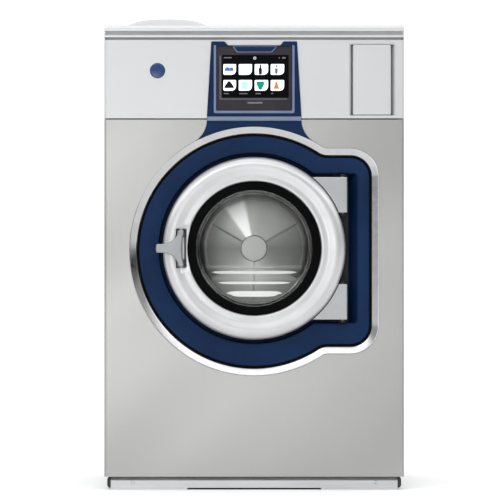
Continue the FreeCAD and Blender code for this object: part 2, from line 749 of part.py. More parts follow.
def hinge_arms():
    tongue_back = door_back + door_back_t + 3.2
    for side in (-1, 1):
        z0, z1 = sorted((axis_height + side * hinge_arm_low, axis_height + side * hinge_arm_high))
        arm = box(hinge_arm_left, hinge_arm_right, hinge_arm_front, hinge_arm_back, z0, z1)
        arm = arm.cut(barrel(door_radius + curved_gap, -60, 60))
        web = box(hinge_arm_left, hinge_arm_right - 3, hinge_arm_back, tongue_back, z0 + 6, z1 - 6)
        web = web.cut(barrel(door_radius + curved_gap, -60, 60))
        tongue = box(hinge_arm_left, hinge_arm_right - 3, tongue_back - 3, tongue_back, z0 + 6, z1 - 6)
        tongue = tongue.cut(barrel(door_radius - 31.0, -60, 60))
        arm = fuse(arm, web, tongue)
        bore = post(hinge_pin_r + running_gap, z0 - 1, z1 + 1, hinge_x, hinge_depth)
        add("hinge_arms", arm.cut(bore))


def door_handle():
    half = handle_half_height
    px = handle_pin_x
    tip = handle_tip
    z = axis_height

    def at(x, dz):
        return V(x, depth_y(-front_projection), z + dz)

    edges = [
        arc(at(tip + 2, 10.5), at(tip, 0), at(tip + 2, -10.5)),
        Part.LineSegment(at(tip + 2, -10.5), at(tip + 16, -11.0)).toShape(),
        arc(at(tip + 16, -11.0), at(px - 17, -20.5), at(px - 5, -half + 5)),
        arc(at(px - 5, -half + 5), at(px + 2, -half), at(px + 8, -half + 5)),
        arc(at(px + 8, -half + 5), at(px + 3.0, 0), at(px + 8, half - 5)),
        arc(at(px + 8, half - 5), at(px + 2, half), at(px - 5, half - 5)),
        arc(at(px - 5, half - 5), at(px - 17, 20.5), at(tip + 16, 11.0)),
        Part.LineSegment(at(tip + 16, 11.0), at(tip + 2, 10.5)).toShape(),
    ]
    plate = Part.Face(Part.Wire(edges)).extrude(V(0, handle_plate_t, 0))
    front = [e for e in plate.Edges if e.BoundBox.YMax < depth_y(-front_projection) + 0.01]
    plate = plate.makeFillet(3.0, front)
    solids = [plate]
    for side in (-1, 1):
        z0, z1 = sorted((z + side * 30.0, z + side * (half - 0.2)))
        solids.append(post(handle_knuckle_r, z0, z1, px, handle_pin_depth))
        solids.append(box(px - 7.5, px + 5.5, -37.0, handle_pin_depth, z0, z1))
    handle = fuse(*solids)
    handle = handle.cut(post(handle_pin_r + running_gap, z - 60, z + 60, px, handle_pin_depth))
    add("door_handle", handle)


# ---------------------------------------------------------------- display
def display():
    z_low, z_high = ui_bezel_low + rise, ui_bezel_high + rise
    edge_low, edge_high = ui_ledge_high + rise + part_gap, ui_top + rise
    left = [(-ui_half_bottom, edge_low), (-ui_half_top, edge_high), (-tongue_half_top, edge_high),
            (-tongue_half_low - 0.2, edge_high - tongue_height)]
    outline = left + [(-x, z) for x, z in reversed(left)]
    surround = plate_xz(outline, -ui_proud, sheet + 10)
    corners = [e for e in surround.Edges if abs(e.BoundBox.XMin) > ui_half_top - 0.5
               and e.BoundBox.XLength < 0.2 and e.BoundBox.ZLength < 0.2 and e.BoundBox.ZMin > edge_high - 0.2]
    surround = surround.makeFillet(6.0, corners)
    pocket = box(-ui_bezel_half - part_gap, ui_bezel_half + part_gap, -ui_proud - 1, sheet + 11,
                 z_low - part_gap, z_high + part_gap)
    skirt = Part.Face(skirt_wire(part_gap, -ui_proud + 1.5)).extrude(V(0, ui_proud + 6, 0))
    skirt = skirt.cut(box(-200, 200, -20, 30, ui_ledge_low + rise, ui_ledge_low + rise + 40))
    low, top = ui_ledge_low + rise, ui_ledge_high + rise
    nose = -ui_proud - 1.0
    ledge = profile_x([(nose + 2.5, low + 0.2), (nose, low + 3.5), (nose, low + 6.0), (nose + 2.0, top),
                       (sheet + 10, top), (sheet + 10, low + 0.2)], -ui_half_bottom, ui_half_bottom)
    add("display_surround", surround.cut(pocket), skirt, ledge)

    bezel = box(-ui_bezel_half, ui_bezel_half, -ui_proud + 2.2, 5, z_low, z_high)
    window = box(screen_x - screen_half, screen_x + screen_half, -ui_proud, 6, screen_low + rise,
                 screen_high + rise)
    add("display_bezel", bezel.cut(window))
    add("display_glass", box(screen_x - screen_half + 0.2, screen_x + screen_half - 0.2, -ui_proud + 2.6, 4.8,
                             screen_low + rise + 0.2, screen_high + rise - 0.2))
    back = box(-ui_bezel_half, ui_bezel_half, 5.2, 32, z_low, z_high - 4)
    back = back.cut(box(-ui_bezel_half + 2.5, ui_bezel_half - 2.5, 5.1, 29.5, z_low + 2.5, z_high - 6.5))
    board = box(-ui_bezel_half + 3, ui_bezel_half - 3, 12, 13.6, z_low + 3, z_high - 7)
    pillars = [barrel(3, 13.6, 29.5, x, z)
               for x in (12 - ui_bezel_half, ui_bezel_half - 12) for z in (z_low + 14, z_high - 20)]
    add("display_housing", fuse(back, board, *pillars))


# ---------------------------------------------------------------- detergent drawer
def drawer():
    x0, x1 = drawer_x - drawer_width / 2, drawer_x + drawer_width / 2
    hole = (drawer_hole_left, drawer_hole_right, drawer_hole_low + rise, drawer_hole_high + rise)
    low, high = drawer_low + rise, drawer_high + rise
    g = 0.4
    mouth = (x0 - 0.8, x1 + 0.8, low - 0.8, high + 0.8)
    y0, y1 = depth_y(0.2), depth_y(14.0)

    def rect(a, b, z0, z1, y):
        return closed([V(a, y, z0), V(b, y, z0), V(b, y, z1), V(a, y, z1)])

    frame = box(hole[0] + g, hole[1] - g, 0.2, 18, hole[2] + g, hole[3] - g)
    funnel = Part.makeLoft([rect(hole[0] + 1.8, hole[1] - 1.8, mouth[2], mouth[3], y0 - 0.01),
                            rect(mouth[0], mouth[1], mouth[2], mouth[3], y1)], True, True)
    through = box(mouth[0], mouth[1], 10, 19, mouth[2], mouth[3])
    hollow = box(hole[0] + 30, hole[1] - 30, 18, 19, hole[2], hole[3])
    add("drawer_frame", cut(frame, funnel, through, hollow))

    front = box(x0, x1, 0.0, 12.0, low, high)
    edges = [e for e in front.Edges if e.BoundBox.YMax < depth_y(0) + 0.01]
    front = front.makeFillet(2.0, edges)
    front = front.cut(box(x0 + 3, x1 - 3, 3, 13, low + 3, high - 3))
    add("drawer_front", front)

    w = drawer_wall
    tray_low, tray_high = low + 16.0, high - 20.0
    t0, t1 = 12.2, drawer_length
    tray = box(x0 + 3.5, x1 - 3.5, t0, t1, tray_low, tray_high)
    inner0, inner1 = x0 + 3.5 + w, x1 - 3.5 - w
    third = (t1 - t0 - 4 * w) / 3
    for k in range(3):
        a = t0 + w + k * (third + w)
        tray = tray.cut(box(inner0, inner1, a, a + third, tray_low + w, tray_high + 1))
    add("drawer_tray", tray)

    b0, b1 = 18.3, drawer_length + 26
    bx0, bx1 = x0 - 1.0 - w, x1 + 1.0 + w
    bz0, bz1 = low - w - 1.0, high + w + 1.0
    housing = box(bx0, bx1, b0, b1, bz0, bz1).cut(box(bx0 + w, bx1 - w, b0 - 1, b1 - w, bz0 + w, bz1 - w))
    for rx in (x0 + 8, x1 - 14):
        housing = fuse(housing, box(rx, rx + 6, b0, b1 - w, bz0 + w - 0.1, tray_low - part_gap))
    spout = post(24, bz0 - 22, bz0 + 0.5, hose_x, hose_depth)
    housing = fuse(housing, spout).cut(post(20, bz0 - 30, bz0 + w + 1, hose_x, hose_depth))
    for k in range(3):
        vx = drawer_x + inlet_pitch * (k - 1) * 0.8
        housing = fuse(housing, barrel(8, b1 - 0.5, b1 + 16, vx, inlet_z + rise))
    add("detergent_box", housing)
    return bz0, b1


# ---------------------------------------------------------------- water, drain and electrics
def water_and_drain(box_floor, box_back):
    valves, hoses = [], []
    for k in range(3):
        x = valve_x(k)
        z = inlet_z + rise
        stub = fuse(barrel(inlet_r - 1, cabinet_depth - 8, cabinet_depth + stub_step + 0.5, x, z),
                    barrel(inlet_r, cabinet_depth + stub_step, cabinet_depth + stub_length, x, z))
        body = box(x - 15, x + 15, cabinet_depth - 62, cabinet_depth - 8, z - 20, z + 24)
        coil = post(12, z + 24, z + 50, x, cabinet_depth - 36)
        flange = box(x - 18, x + 18, cabinet_depth - side_sheet - part_gap - 4,
                     cabinet_depth - side_sheet - part_gap,
                     z - 18, z + 18)
        hx = drawer_x + inlet_pitch * (k - 1) * 0.8
        outlet = barrel(8, cabinet_depth - 78, cabinet_depth - 61, hx, z)
        valve = fuse(stub, body, coil, flange, outlet)
        valves.append(valve.cut(barrel(inlet_r - 3.5, cabinet_depth - 2, cabinet_depth + 23, x, z)))
        hoses.append(tube(10.5, 8.02, box_back + 2, cabinet_depth - 63, hx, z))
    add("inlet_valves_and_hoses", *valves, *hoses)

    tub_top_z = axis_height + math.sqrt((tub_radius) ** 2 - hose_x ** 2)
    fill_hose = post(24 + curved_gap + 3, tub_top_z + 42, box_floor - 2, hose_x, hose_depth)
    fill_bore = post(24 + curved_gap, tub_top_z + 41, box_floor - 1, hose_x, hose_depth)
    add("tub_hoses", fill_hose.cut(fill_bore))

    valve_top = drain_z + 88
    hose_r = 42.0
    hose_top = axis_height - math.sqrt(tub_radius ** 2 - (drain_x - hose_r) ** 2) - 2
    drain_hose = post(hose_r, valve_top - 24, hose_top, drain_x, drain_depth)
    hose_bore = post(38 + curved_gap, valve_top - 25, hose_top + 1, drain_x, drain_depth)
    add("tub_hoses", drain_hose.cut(hose_bore))
    body = box(drain_x - 48, drain_x + 48, drain_depth - 52, drain_depth + 52, drain_z - 50, drain_z + 50)
    body = fuse(body, post(38, drain_z + 49, valve_top, drain_x, drain_depth),
                box(drain_x - 20, drain_x + 20, drain_depth - 110, drain_depth - 51, drain_z - 25,
                    drain_z + 30))
    stand = box(drain_x - 40, drain_x + 40, drain_depth - 40, drain_depth + 40, base_height, drain_z - 49)
    saddle = box(drain_x - 50, drain_x + 50, drain_depth - 170, drain_depth + 125, base_height + part_gap,
                 base_height + 3)
    body = fuse(body, stand.cut(box(drain_x - 37, drain_x + 37, drain_depth - 37, drain_depth + 37,
                                    base_height - 1, drain_z - 50)), saddle)
    bore_down = post(34, drain_z, valve_top + 1, drain_x, drain_depth)
    bore_back = barrel(34, drain_depth, drain_depth + 60, drain_x, drain_z)
    pipe = fuse(tube(drain_pipe_r - 1, 34, drain_depth + 51.5, cabinet_depth + stub_step + 0.5, drain_x,
                     drain_z),
                tube(drain_pipe_r, 34, cabinet_depth + stub_step, cabinet_depth + rear_projection, drain_x,
                     drain_z))
    add("drain_valve", fuse(body, pipe).cut(fuse(bore_down, bore_back)))

    z = gland_z + rise
    gland = fuse(barrel(gland_r, cabinet_depth - 18, cabinet_depth + 6, gland_x, z),
                 barrel(gland_r + 3, cabinet_depth + 0.2, cabinet_depth + 6, gland_x, z),
                 barrel(gland_r - 1, cabinet_depth + 5.9, cabinet_depth + 24, gland_x, z))
    add("cable_gland", gland.cut(barrel(gland_r / 2, cabinet_depth - 19, cabinet_depth + 25, gland_x, z)))

    z = crossbar_low + 18 + part_gap
    control = box(-half_w + 40, -140, 60, 260, z, z + 90)
    control = control.cut(box(-half_w + 42.5, -142.5, 62.5, 257.5, z + 2.5, z + 91))
    lid = box(-half_w + 40, -140, 60, 260, z + 90.2, z + 92.5)
    card = box(-half_w + 50, -150, 70, 250, z + 12, z + 13.6)
    modules = [box(-half_w + 70, -half_w + 110, 90, 130, z + 13.6, z + 40),
               box(-230, -190, 100, 140, z + 13.6, z + 32), box(-290, -200, 180, 200, z + 13.6, z + 28)]
    feet = [post(4, z + 2.5, z + 12, x, d) for x in (-half_w + 58, -158) for d in (80, 240)]
    add("control_box", control, lid, fuse(card, *modules, *feet))
    drive = box(-inner_w + part_gap, -inner_w + 46, 190, 350, 90, 300)
    for k in range(9):
        drive = drive.cut(box(-inner_w + 34, -inner_w + 47, 198 + 17 * k, 206 + 17 * k, 80, 310))
    add("motor_drive", drive)


# ---------------------------------------------------------------- suspended tub
def sector(r_in, r_out, d0, d1, a0, a1):
    ring = tube(r_out, r_in, d0, d1)
    reach = r_out * 2
    m = (a0 + a1) / 2
    points = [(0, axis_height)]
    for degrees in (a0, m, a1):
        a = math.radians(degrees)
        points.append((reach * math.cos(a), axis_height + reach * math.sin(a)))
    return ring.common(plate_xz(points, d0, d1))


def tub():
    r = tub_radius
    t = tub_sheet
    shell = tube(r, r - t, tub_front + gable_t, tub_rear)
    top_z = axis_height + math.sqrt(r ** 2 - hose_x ** 2)
    spigot = post(24, top_z - 30, top_z + 62, hose_x, hose_depth)
    sump_z = axis_height - math.sqrt(r ** 2 - drain_x ** 2)
    outlet = post(38, sump_z - 36, sump_z + 40, drain_x, drain_depth)
    outside = fuse(spigot, outlet).cut(barrel(r - t / 2, tub_front, tub_rear))
    shell = fuse(shell, *outside.Solids)
    shell = cut(shell, post(21, top_z - 60, top_z + 63, hose_x, hose_depth),
                post(34, sump_z - 37, sump_z + 60, drain_x, drain_depth))
    add("tub_shell", shell)

    front = tube(r + 5, tub_neck_r - 2, tub_front, tub_front + gable_t - 0.2)
    neck = tube(tub_neck_r, tub_neck_r - 2, tub_front - 16, tub_front + 1)
    add("tub_front_gable", fuse(front, neck))
    rear = tube(r + 5, 58, tub_rear + 0.2, tub_rear + gable_t)
    for k in range(6):
        a = math.radians(60 * k + 30)
        rib = box(62, r - 6, tub_rear + gable_t - 0.1, tub_rear + gable_t + 12, axis_height - 3,
                  axis_height + 3)
        rib.rotate(V(0, 0, axis_height), V(0, 1, 0), math.degrees(a))
        rear = fuse(rear, rib.cut(barrel(112, tub_rear, tub_rear + 40)))
    for hx in (-34.0, 0.0, 34.0):
        rear = rear.cut(barrel(heater_r + part_gap, tub_rear - 1, tub_rear + 20, hx,
                               axis_height - heater_drop()))
    add("tub_rear_gable", rear)

    h0 = tub_rear + gable_t + 0.2
    housing = fuse(tube(110, shaft_r + 14, h0, h0 + 10), tube(54, shaft_r + 14, h0 - 6, housing_end))
    for k in range(6):
        rib = box(52, 104, h0 + 9, h0 + 46, axis_height - 4, axis_height + 4)
        rib = rib.cut(wedge_tool(h0))
        rib.rotate(V(0, 0, axis_height), V(0, 1, 0), 60 * k)
        housing = fuse(housing, rib)
    seats = [(h0 - 7, h0 + 10 + bearing_width), (housing_end - bearing_width - 4, housing_end + 1)]
    for s0, s1 in seats:
        housing = housing.cut(barrel(bearing_r, s0, s1))
    add("bearing_housing", housing)
    b0 = h0 + 10
    b1 = housing_end - bearing_width - 4
    add("bearings_and_seal", tube(bearing_r - 0.02, shaft_r + running_gap, b0, b0 + bearing_width),
        tube(bearing_r - 0.02, shaft_r + running_gap, b1 + 0.2, b1 + bearing_width),
        tube(bearing_r - 0.02, shaft_r + part_gap, h0 - 5, h0 + 8))

    front_weight = sector(tub_neck_r + 30, r + 2, tub_front - 32, tub_front - 0.2, 32, 148)
    low_weight = sector(tub_neck_r + 30, r + 2, tub_front - 32, tub_front - 0.2, 212, 328)
    add("counterweights", front_weight, low_weight)

    heaters = []
    z = axis_height - heater_drop()
    for hx in (-34.0, 0.0, 34.0):
        heaters.append(barrel(heater_r, tub_front + 40, tub_rear + 26, hx, z))
    add("heating_elements", *heaters)


def wedge_tool(h0):
    """Cuts the bearing housing's ribs to a slope."""
    points = [V(54, depth_y(h0 + 47), axis_height - 5), V(110, depth_y(h0 + 47), axis_height - 5),
              V(110, depth_y(h0 + 11), axis_height - 5)]
    return Part.Face(closed(points)).extrude(V(0, 0, 10))


def heater_drop():
    return (drum_radius + tub_radius - tub_sheet) / 2


def cradle():
    plates = []
    r = tub_radius
    for depth in spring_depths:
        z0, z1 = cradle_foot_z, axis_height - 120
        plate = box(-spring_x - 26, spring_x + 26, depth - 2, depth + 2, z0, z1)
        plate = plate.cut(barrel(r + curved_gap, depth - 3, depth + 3))
        plate = plate.cut(box(-170, 170, depth - 3, depth + 3, z0 - 1, axis_height - r + 2))
        plates.append(plate)
    solids = []
    for depth, plate in zip(spring_depths, plates):
        feet = []
        for side in (-1, 1):
            x0, x1 = sorted((side * (damper_x - 22), side * (spring_x + 34)))
            feet.append(box(x0, x1, depth - 34, depth + 34, cradle_foot_z - 4, cradle_foot_z))
        solids.append(fuse(feet[0], feet[1], *plate.Solids))
    rails = []
    for side in (-1, 1):
        x0, x1 = sorted((side * (spring_x + 26), side * (spring_x + 34)))
        rails.append(box(x0, x1, spring_depths[0] - 34, spring_depths[1] + 34, cradle_foot_z - 4,
                         cradle_foot_z + 30))
    add("tub_cradle", fuse(solids[0], solids[1], *rails))

    springs, tubes, rods = [], [], []
    z0 = base_height + spring_wire_r + 0.2
    z1 = cradle_foot_z - 4 - spring_wire_r - 0.2
    for depth in spring_depths:
        for side in (-1, 1):
            springs.append(coil(side * spring_x, depth, z0, z1))
            x = side * damper_x
            tubes.append(post(damper_r, base_height + 0.2, base_height + 96, x, depth).cut(
                post(damper_rod_r + 2.5, base_height + 6, base_height + 97, x, depth)))
            rods.append(fuse(post(damper_rod_r, base_height + 30, cradle_foot_z - 4.2, x, depth),
                             post(damper_rod_r + 2.2, base_height + 30, base_height + 50, x, depth)))
    add("springs", *springs)
    add("damper_tubes", *tubes)
    add("damper_rods", *rods)


def coil(x, depth, z0, z1):
    """A compression spring: a helix of round wire."""
    pitch = (z1 - z0) / spring_turns
    path = Part.makeHelix(pitch, z1 - z0, spring_radius)
    circle = Part.Wire(Part.makeCircle(spring_wire_r, V(spring_radius, 0, 0), V(0, 1, 0)))
    shape = Part.Wire(path).makePipeShell([circle], True, True)
    shape.translate(V(x, depth_y(depth), z0))
    return shape


def drive():
    p0, p1 = pulley_front, pulley_front + pulley_width
    r = pulley_radius
    rim = tube(r, r - 10, p0, p1)
    hub = tube(34, shaft_r - 4, p0, p1)
    solids = [rim, hub]
    for k in range(5):
        spoke = box(30, r - 6, p0 + 5, p1 - 5, axis_height - 9, axis_height + 9)
        spoke.rotate(V(0, 0, axis_height), V(0, 1, 0), 72 * k)
        solids.append(spoke)
    wheel = fuse(*solids)
    groove = tube(r + 1, r - 3, p0 + 1.5, p1 - 1.5)
    add("drum_pulley", wheel.cut(groove))

    m0 = motor_pulley_radius
    small = tube(m0, 8 + part_gap, p0, p1, motor_x, motor_z)
    small = small.cut(tube(m0 + 1, m0 - 3, p0 + 1.5, p1 - 1.5, motor_x, motor_z))
    add("motor_shaft_and_pulley", small)
    dx, dz = motor_x, motor_z - axis_height
    length = math.hypot(dx, dz)

    def loop(big, little):
        lean = math.acos((big - little) / length)
        way = math.atan2(dz, dx)
        points = []
        for sign in (1, -1):
            a = way + sign * lean
            points.append((V(big * math.cos(a), depth_y(p0 + 2.5), axis_height + big * math.sin(a)),
                           V(motor_x + little * math.cos(a), depth_y(p0 + 2.5),
                             motor_z + little * math.sin(a))))
        far = V(-big * math.cos(way), depth_y(p0 + 2.5), axis_height - big * math.sin(way))
        near = V(motor_x + little * math.cos(way), depth_y(p0 + 2.5), motor_z + little * math.sin(way))
        edges = [arc(points[0][0], far, points[1][0]), Part.LineSegment(points[1][0], points[1][1]).toShape(),
                 arc(points[1][1], near, points[0][1]),
                 Part.LineSegment(points[0][1], points[0][0]).toShape()]
        return Part.Face(Part.Wire(edges)).extrude(V(0, pulley_width - 5, 0))

    grip = 3 - curved_gap
    belt = loop(r - grip + belt_t, m0 - grip + belt_t).cut(loop(r - grip, m0 - grip))
    add("drive_belt", belt)

    m1 = pulley_front - 12
    body = barrel(motor_radius, m1 - motor_length, m1, motor_x, motor_z)
    body = body.cut(barrel(12.0 + running_gap, m1 - 34, m1 + 1, motor_x, motor_z))
    fins = []
    for k in range(16):
        fin = box(motor_radius - 2, motor_radius + 5, m1 - motor_length + 14, m1 - 14, -1.2, 1.2)
        fin.translate(V(motor_x, 0, motor_z))
        fin.rotate(V(motor_x, 0, motor_z), V(0, 1, 0), 22.5 * k + 11.25)
        fins.append(fin)
    shaft = fuse(barrel(8.0, m1 - 33, p1 + 3, motor_x, motor_z),
                 barrel(12.0, m1 - 33, m1 - 2, motor_x, motor_z))
    add("motor_shaft_and_pulley", shaft)
    lift = axis_height - math.sqrt(tub_radius ** 2 - motor_x ** 2)
    arms = []
    for depth in (m1 - motor_length + 20, m1 - 40):
        x0, x1 = motor_x - 50, motor_x + 50
        arm = box(x0, x1, depth, depth + 6, motor_z, lift + 40)
        arm = arm.cut(barrel(motor_radius - 2, depth - 1, depth + 7, motor_x, motor_z))
        arm = arm.cut(barrel(tub_radius + curved_gap, depth - 1, depth + 7))
        arms.append(max(arm.Solids, key=lambda solid: solid.BoundBox.ZMax))
    add("motor", fuse(body, *fins, *arms))


# ---------------------------------------------------------------- drum
def drum():
    r, t = drum_radius, drum_sheet
    wall = tube(r, r - t, drum_front, drum_rear)
    front = tube(r - t + 0.1, drum_mouth + 2, drum_front, drum_front + t)
    lip = tube(drum_mouth + 3.5, drum_mouth, drum_front - 1.5, drum_front + 5)
    add("drum_shell", fuse(wall, front, lip))

    rim = r - t - curved_gap
    back = turned([(0, drum_rear - 14), (34, drum_rear - 14), (36, drum_rear - 6),
                   (r - t - 24, drum_rear - 4),
                   (rim, drum_rear - 3), (rim, drum_rear - 0.5), (0, drum_rear - 0.5)])
    ribs = []
    for angle in (30, 150, 270):
        rib = box(30, r - 30, drum_rear - 9, drum_rear - 2, axis_height - 2.0, axis_height + 2.0)
        rib.rotate(V(0, 0, axis_height), V(0, 1, 0), -angle)
        ribs.append(rib)
    add("drum_back", fuse(back, *ribs))

    lifters = []
    for angle in (90, 210, 330):
        height = 55.0
        base_half, top_half = 34.0, 15.0
        outer = r - t - curved_gap
        points = [(outer - 3, -base_half), (outer - height, -top_half), (outer - height, top_half),
                  (outer - 3, base_half), (outer + 6, base_half), (outer + 6, -base_half)]
        wire = closed([V(a, depth_y(drum_front + 18), axis_height + b) for a, b in points])
        lifter = Part.Face(wire).extrude(V(0, drum_length - 40, 0))
        lifter = lifter.common(barrel(outer, drum_front, drum_rear))
        inner = closed([V(a, depth_y(drum_front + 20), axis_height + b * 0.93) for a, b in
                        [(outer - 1, -base_half), (outer - height + 2, -top_half),
                         (outer - height + 2, top_half),
                         (outer - 1, base_half), (outer + 8, base_half), (outer + 8, -base_half)]])
        lifter = lifter.cut(Part.Face(inner).extrude(V(0, drum_length - 44, 0)))
        lifter.rotate(V(0, 0, axis_height), V(0, 1, 0), -angle)
        lifters.append(lifter)
    add("drum_lifters", *lifters)

    arms = []
    for angle in (30, 150, 270):
        arm = box(40, r - 4, drum_rear - 0.3, drum_rear + 15, axis_height - 15, axis_height + 15)
        arm = arm.cut(box(48, r - 12, drum_rear + 4, drum_rear + 16, axis_height - 10, axis_height + 10))
        arm.rotate(V(0, 0, axis_height), V(0, 1, 0), -angle)
        arms.append(arm)
    spider = fuse(barrel(52, drum_rear - 0.3, drum_rear + 15), *arms)
    add("drum_spider", spider)
    shaft = fuse(barrel(shaft_r, drum_rear + 15.2, pulley_front - 0.2),
                 barrel(shaft_r - 4.1, pulley_front - 1, pulley_front + pulley_width + 2),
                 barrel(shaft_r + 2, pulley_front + pulley_width + 0.2, pulley_front + pulley_width + 8))
    add("drum_shaft", shaft)


def gasket():
    lip_front = door_back + door_back_t + 0.6
    plate_back = frame_plate_depth + frame_plate_t
    neck = tub_neck_r + curved_gap
    hole = throat_radius - curved_gap - 0.1
    bulge = throat_radius + 8.0
    t = gasket_t
    profile = [(door_inner_radius - 8, lip_front), (hole + 4, lip_front), (hole + 4, lip_front + 4),
               (hole, lip_front + 6), (hole, plate_back + part_gap), (bulge - 2, plate_back + part_gap),
               (bulge - 2, plate_back + 4), (bulge, plate_back + 12), (hole + 4, plate_back + 24),
               (neck + t, tub_front - 19), (neck + t, tub_front - 2), (neck, tub_front - 2),
               (neck, tub_front - 20.5),
               (hole, plate_back + 22), (bulge - t, plate_back + 12), (bulge - 2 - t, plate_back + 6),
               (hole - t, plate_back + 4), (hole - t, lip_front + 6), (door_inner_radius - 8, lip_front + 3)]
    add("door_gasket", turned(profile))


# ---------------------------------------------------------------- build and export
def build():
    base()
    side_panels()
    front_panel()
    control_panel()
    top_cover()
    rear_panels()
    door_surround()
    inner_frame()
    hinge_bracket()
    door_lock()
    door_ring()
    door_glass()
    hinge_arms()
    door_handle()
    display()
    box_floor, box_back = drawer()
    water_and_drain(box_floor, box_back)
    tub()
    cradle()
    drive()
    drum()
    gasket()


def export():
    os.makedirs("parts", exist_ok=True)
    for name, shapes in parts.items():
        solids = [s for shape in shapes for s in shape.Solids]
        shape = solids[0] if len(solids) == 1 else Part.makeCompound(solids)
        valid = all(s.isValid() for s in solids)
        b = shape.BoundBox
        print(f"{name}: {len(solids)} solids, valid {valid}, volume {shape.Volume / 1000:.1f} cm3, "
              f"x {b.XMin:.1f}..{b.XMax:.1f} y {b.YMin:.1f}..{b.YMax:.1f} z {b.ZMin:.1f}..{b.ZMax:.1f}")
        shape.exportStep(os.path.join("parts", name + ".step"))
    print(len(parts), "nodes")


build()
export()
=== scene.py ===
# A commercial front-loading laundry machine, dressed around its CAD frame. Sizes in the dictionaries are millimetres.
import bpy, bmesh, json, math
from mathutils import Matrix, Vector


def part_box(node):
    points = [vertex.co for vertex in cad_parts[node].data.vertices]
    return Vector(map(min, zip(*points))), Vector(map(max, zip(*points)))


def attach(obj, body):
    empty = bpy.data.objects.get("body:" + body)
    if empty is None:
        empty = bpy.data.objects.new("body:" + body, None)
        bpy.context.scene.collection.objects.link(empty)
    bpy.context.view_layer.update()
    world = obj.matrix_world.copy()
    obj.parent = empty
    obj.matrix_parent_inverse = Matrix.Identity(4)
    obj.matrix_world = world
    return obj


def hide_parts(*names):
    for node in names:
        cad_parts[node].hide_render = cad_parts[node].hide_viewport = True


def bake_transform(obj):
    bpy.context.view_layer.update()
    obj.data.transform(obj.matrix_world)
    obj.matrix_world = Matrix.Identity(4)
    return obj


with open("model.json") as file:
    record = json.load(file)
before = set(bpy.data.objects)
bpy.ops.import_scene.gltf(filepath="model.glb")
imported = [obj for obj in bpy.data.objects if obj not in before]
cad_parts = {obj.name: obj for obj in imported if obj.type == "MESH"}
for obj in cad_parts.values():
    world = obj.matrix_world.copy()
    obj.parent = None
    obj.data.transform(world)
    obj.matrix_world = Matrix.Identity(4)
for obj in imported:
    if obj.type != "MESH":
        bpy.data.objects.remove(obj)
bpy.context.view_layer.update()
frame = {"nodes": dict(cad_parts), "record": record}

mm = 0.001
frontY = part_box("front_panel")[0].y        # outer face of the front sheets
drumLow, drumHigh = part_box("drum_shell")
axisZ = (drumLow.z + drumHigh.z) / 2 / mm  # height of the drum and door axis
scene = bpy.context.scene
scene.view_settings.view_transform = "Standard"
slotOf = {row["node"]: row["material_slot"] for row in frame["record"]["subparts"]}
bodyOf = {node: body for body, nodes in frame["record"]["behaviour"]["bodies"].items() for node in nodes}
print("frame loaded:", len(frame["nodes"]), "CAD nodes")


def at(x, depth, z):
    # depth is the distance behind the front sheets' outer face
    return Vector((x * mm, frontY + depth * mm, z * mm))


# ---- materials ----

def linear(hexColor):
    parts = [int(hexColor[i:i + 2], 16) / 255 for i in (1, 3, 5)]
    return (*(c / 12.92 if c <= 0.04045 else ((c + 0.055) / 1.055) ** 2.4 for c in parts), 1.0)


def addNode(tree, kind, links=None, **settings):
    node = tree.nodes.new(kind)
    for key, value in settings.items():
        setattr(node, key, value)
    for socket, source in (links or {}).items():
        if isinstance(source, bpy.types.NodeSocket):
            tree.links.new(source, node.inputs[socket])
        else:
            node.inputs[socket].default_value = source
    return node


def startMaterial(name, color, **sockets):
    material = bpy.data.materials.new(name)
    material.use_nodes = True
    tree = material.node_tree
    tree.nodes.clear()
    shader = addNode(tree, "ShaderNodeBsdfPrincipled", {"Base Color": linear(color), **sockets})
    addNode(tree, "ShaderNodeOutputMaterial", {"Surface": shader.outputs[0]})
    material.diffuse_color = linear(color)
    return material, tree, shader


def noiseField(tree, size, detail=2.0, stretch=(1, 1, 1), turn=(0, 0, 0)):
    # size is the pattern's real width in millimetres; stretch makes streaks of it
    coordinates = addNode(tree, "ShaderNodeTexCoord")
    turned = addNode(tree, "ShaderNodeMapping", {"Vector": coordinates.outputs["Object"], "Rotation": turn})
    scale = [1 / (size * mm * s) for s in stretch]
    squeezed = addNode(tree, "ShaderNodeMapping", {"Vector": turned.outputs[0], "Scale": scale})
    noise = addNode(tree, "ShaderNodeTexNoise",
                    {"Vector": squeezed.outputs[0], "Scale": 1.0, "Detail": detail, "Roughness": 0.55})
    return noise.outputs["Fac"]


def workSurface(tree, shader, color=None, roughness=None, relief=None):
    # each is a pattern and its range: two colours, two roughnesses, or one height in millimetres
    if color:
        spread = addNode(tree, "ShaderNodeMapRange", {"Value": color[0], "From Min": 0.3, "From Max": 0.7})
        mix = addNode(tree, "ShaderNodeMix", {"Factor": spread.outputs[0], 6: linear(color[1]), 7: linear(color[2])},
                      data_type="RGBA")
        tree.links.new(mix.outputs[2], shader.inputs["Base Color"])
    if roughness:
        spread = addNode(tree, "ShaderNodeMapRange", {"Value": roughness[0], "From Min": 0.3, "From Max": 0.7,
                                                      "To Min": roughness[1], "To Max": roughness[2]})
        tree.links.new(spread.outputs[0], shader.inputs["Roughness"])
    if relief:
        bump = addNode(tree, "ShaderNodeBump", {"Height": relief[0], "Distance": relief[1] * mm, "Strength": 1.0})
        tree.links.new(bump.outputs[0], shader.inputs["Normal"])


def rampTones(ramp, tones):
    # a new ramp has its two end stops already
    stops = ramp.color_ramp.elements
    for position, tone in tones[1:-1]:
        stops.new(position).color = tone
    stops[0].color, stops[-1].color = tones[0][1], tones[-1][1]


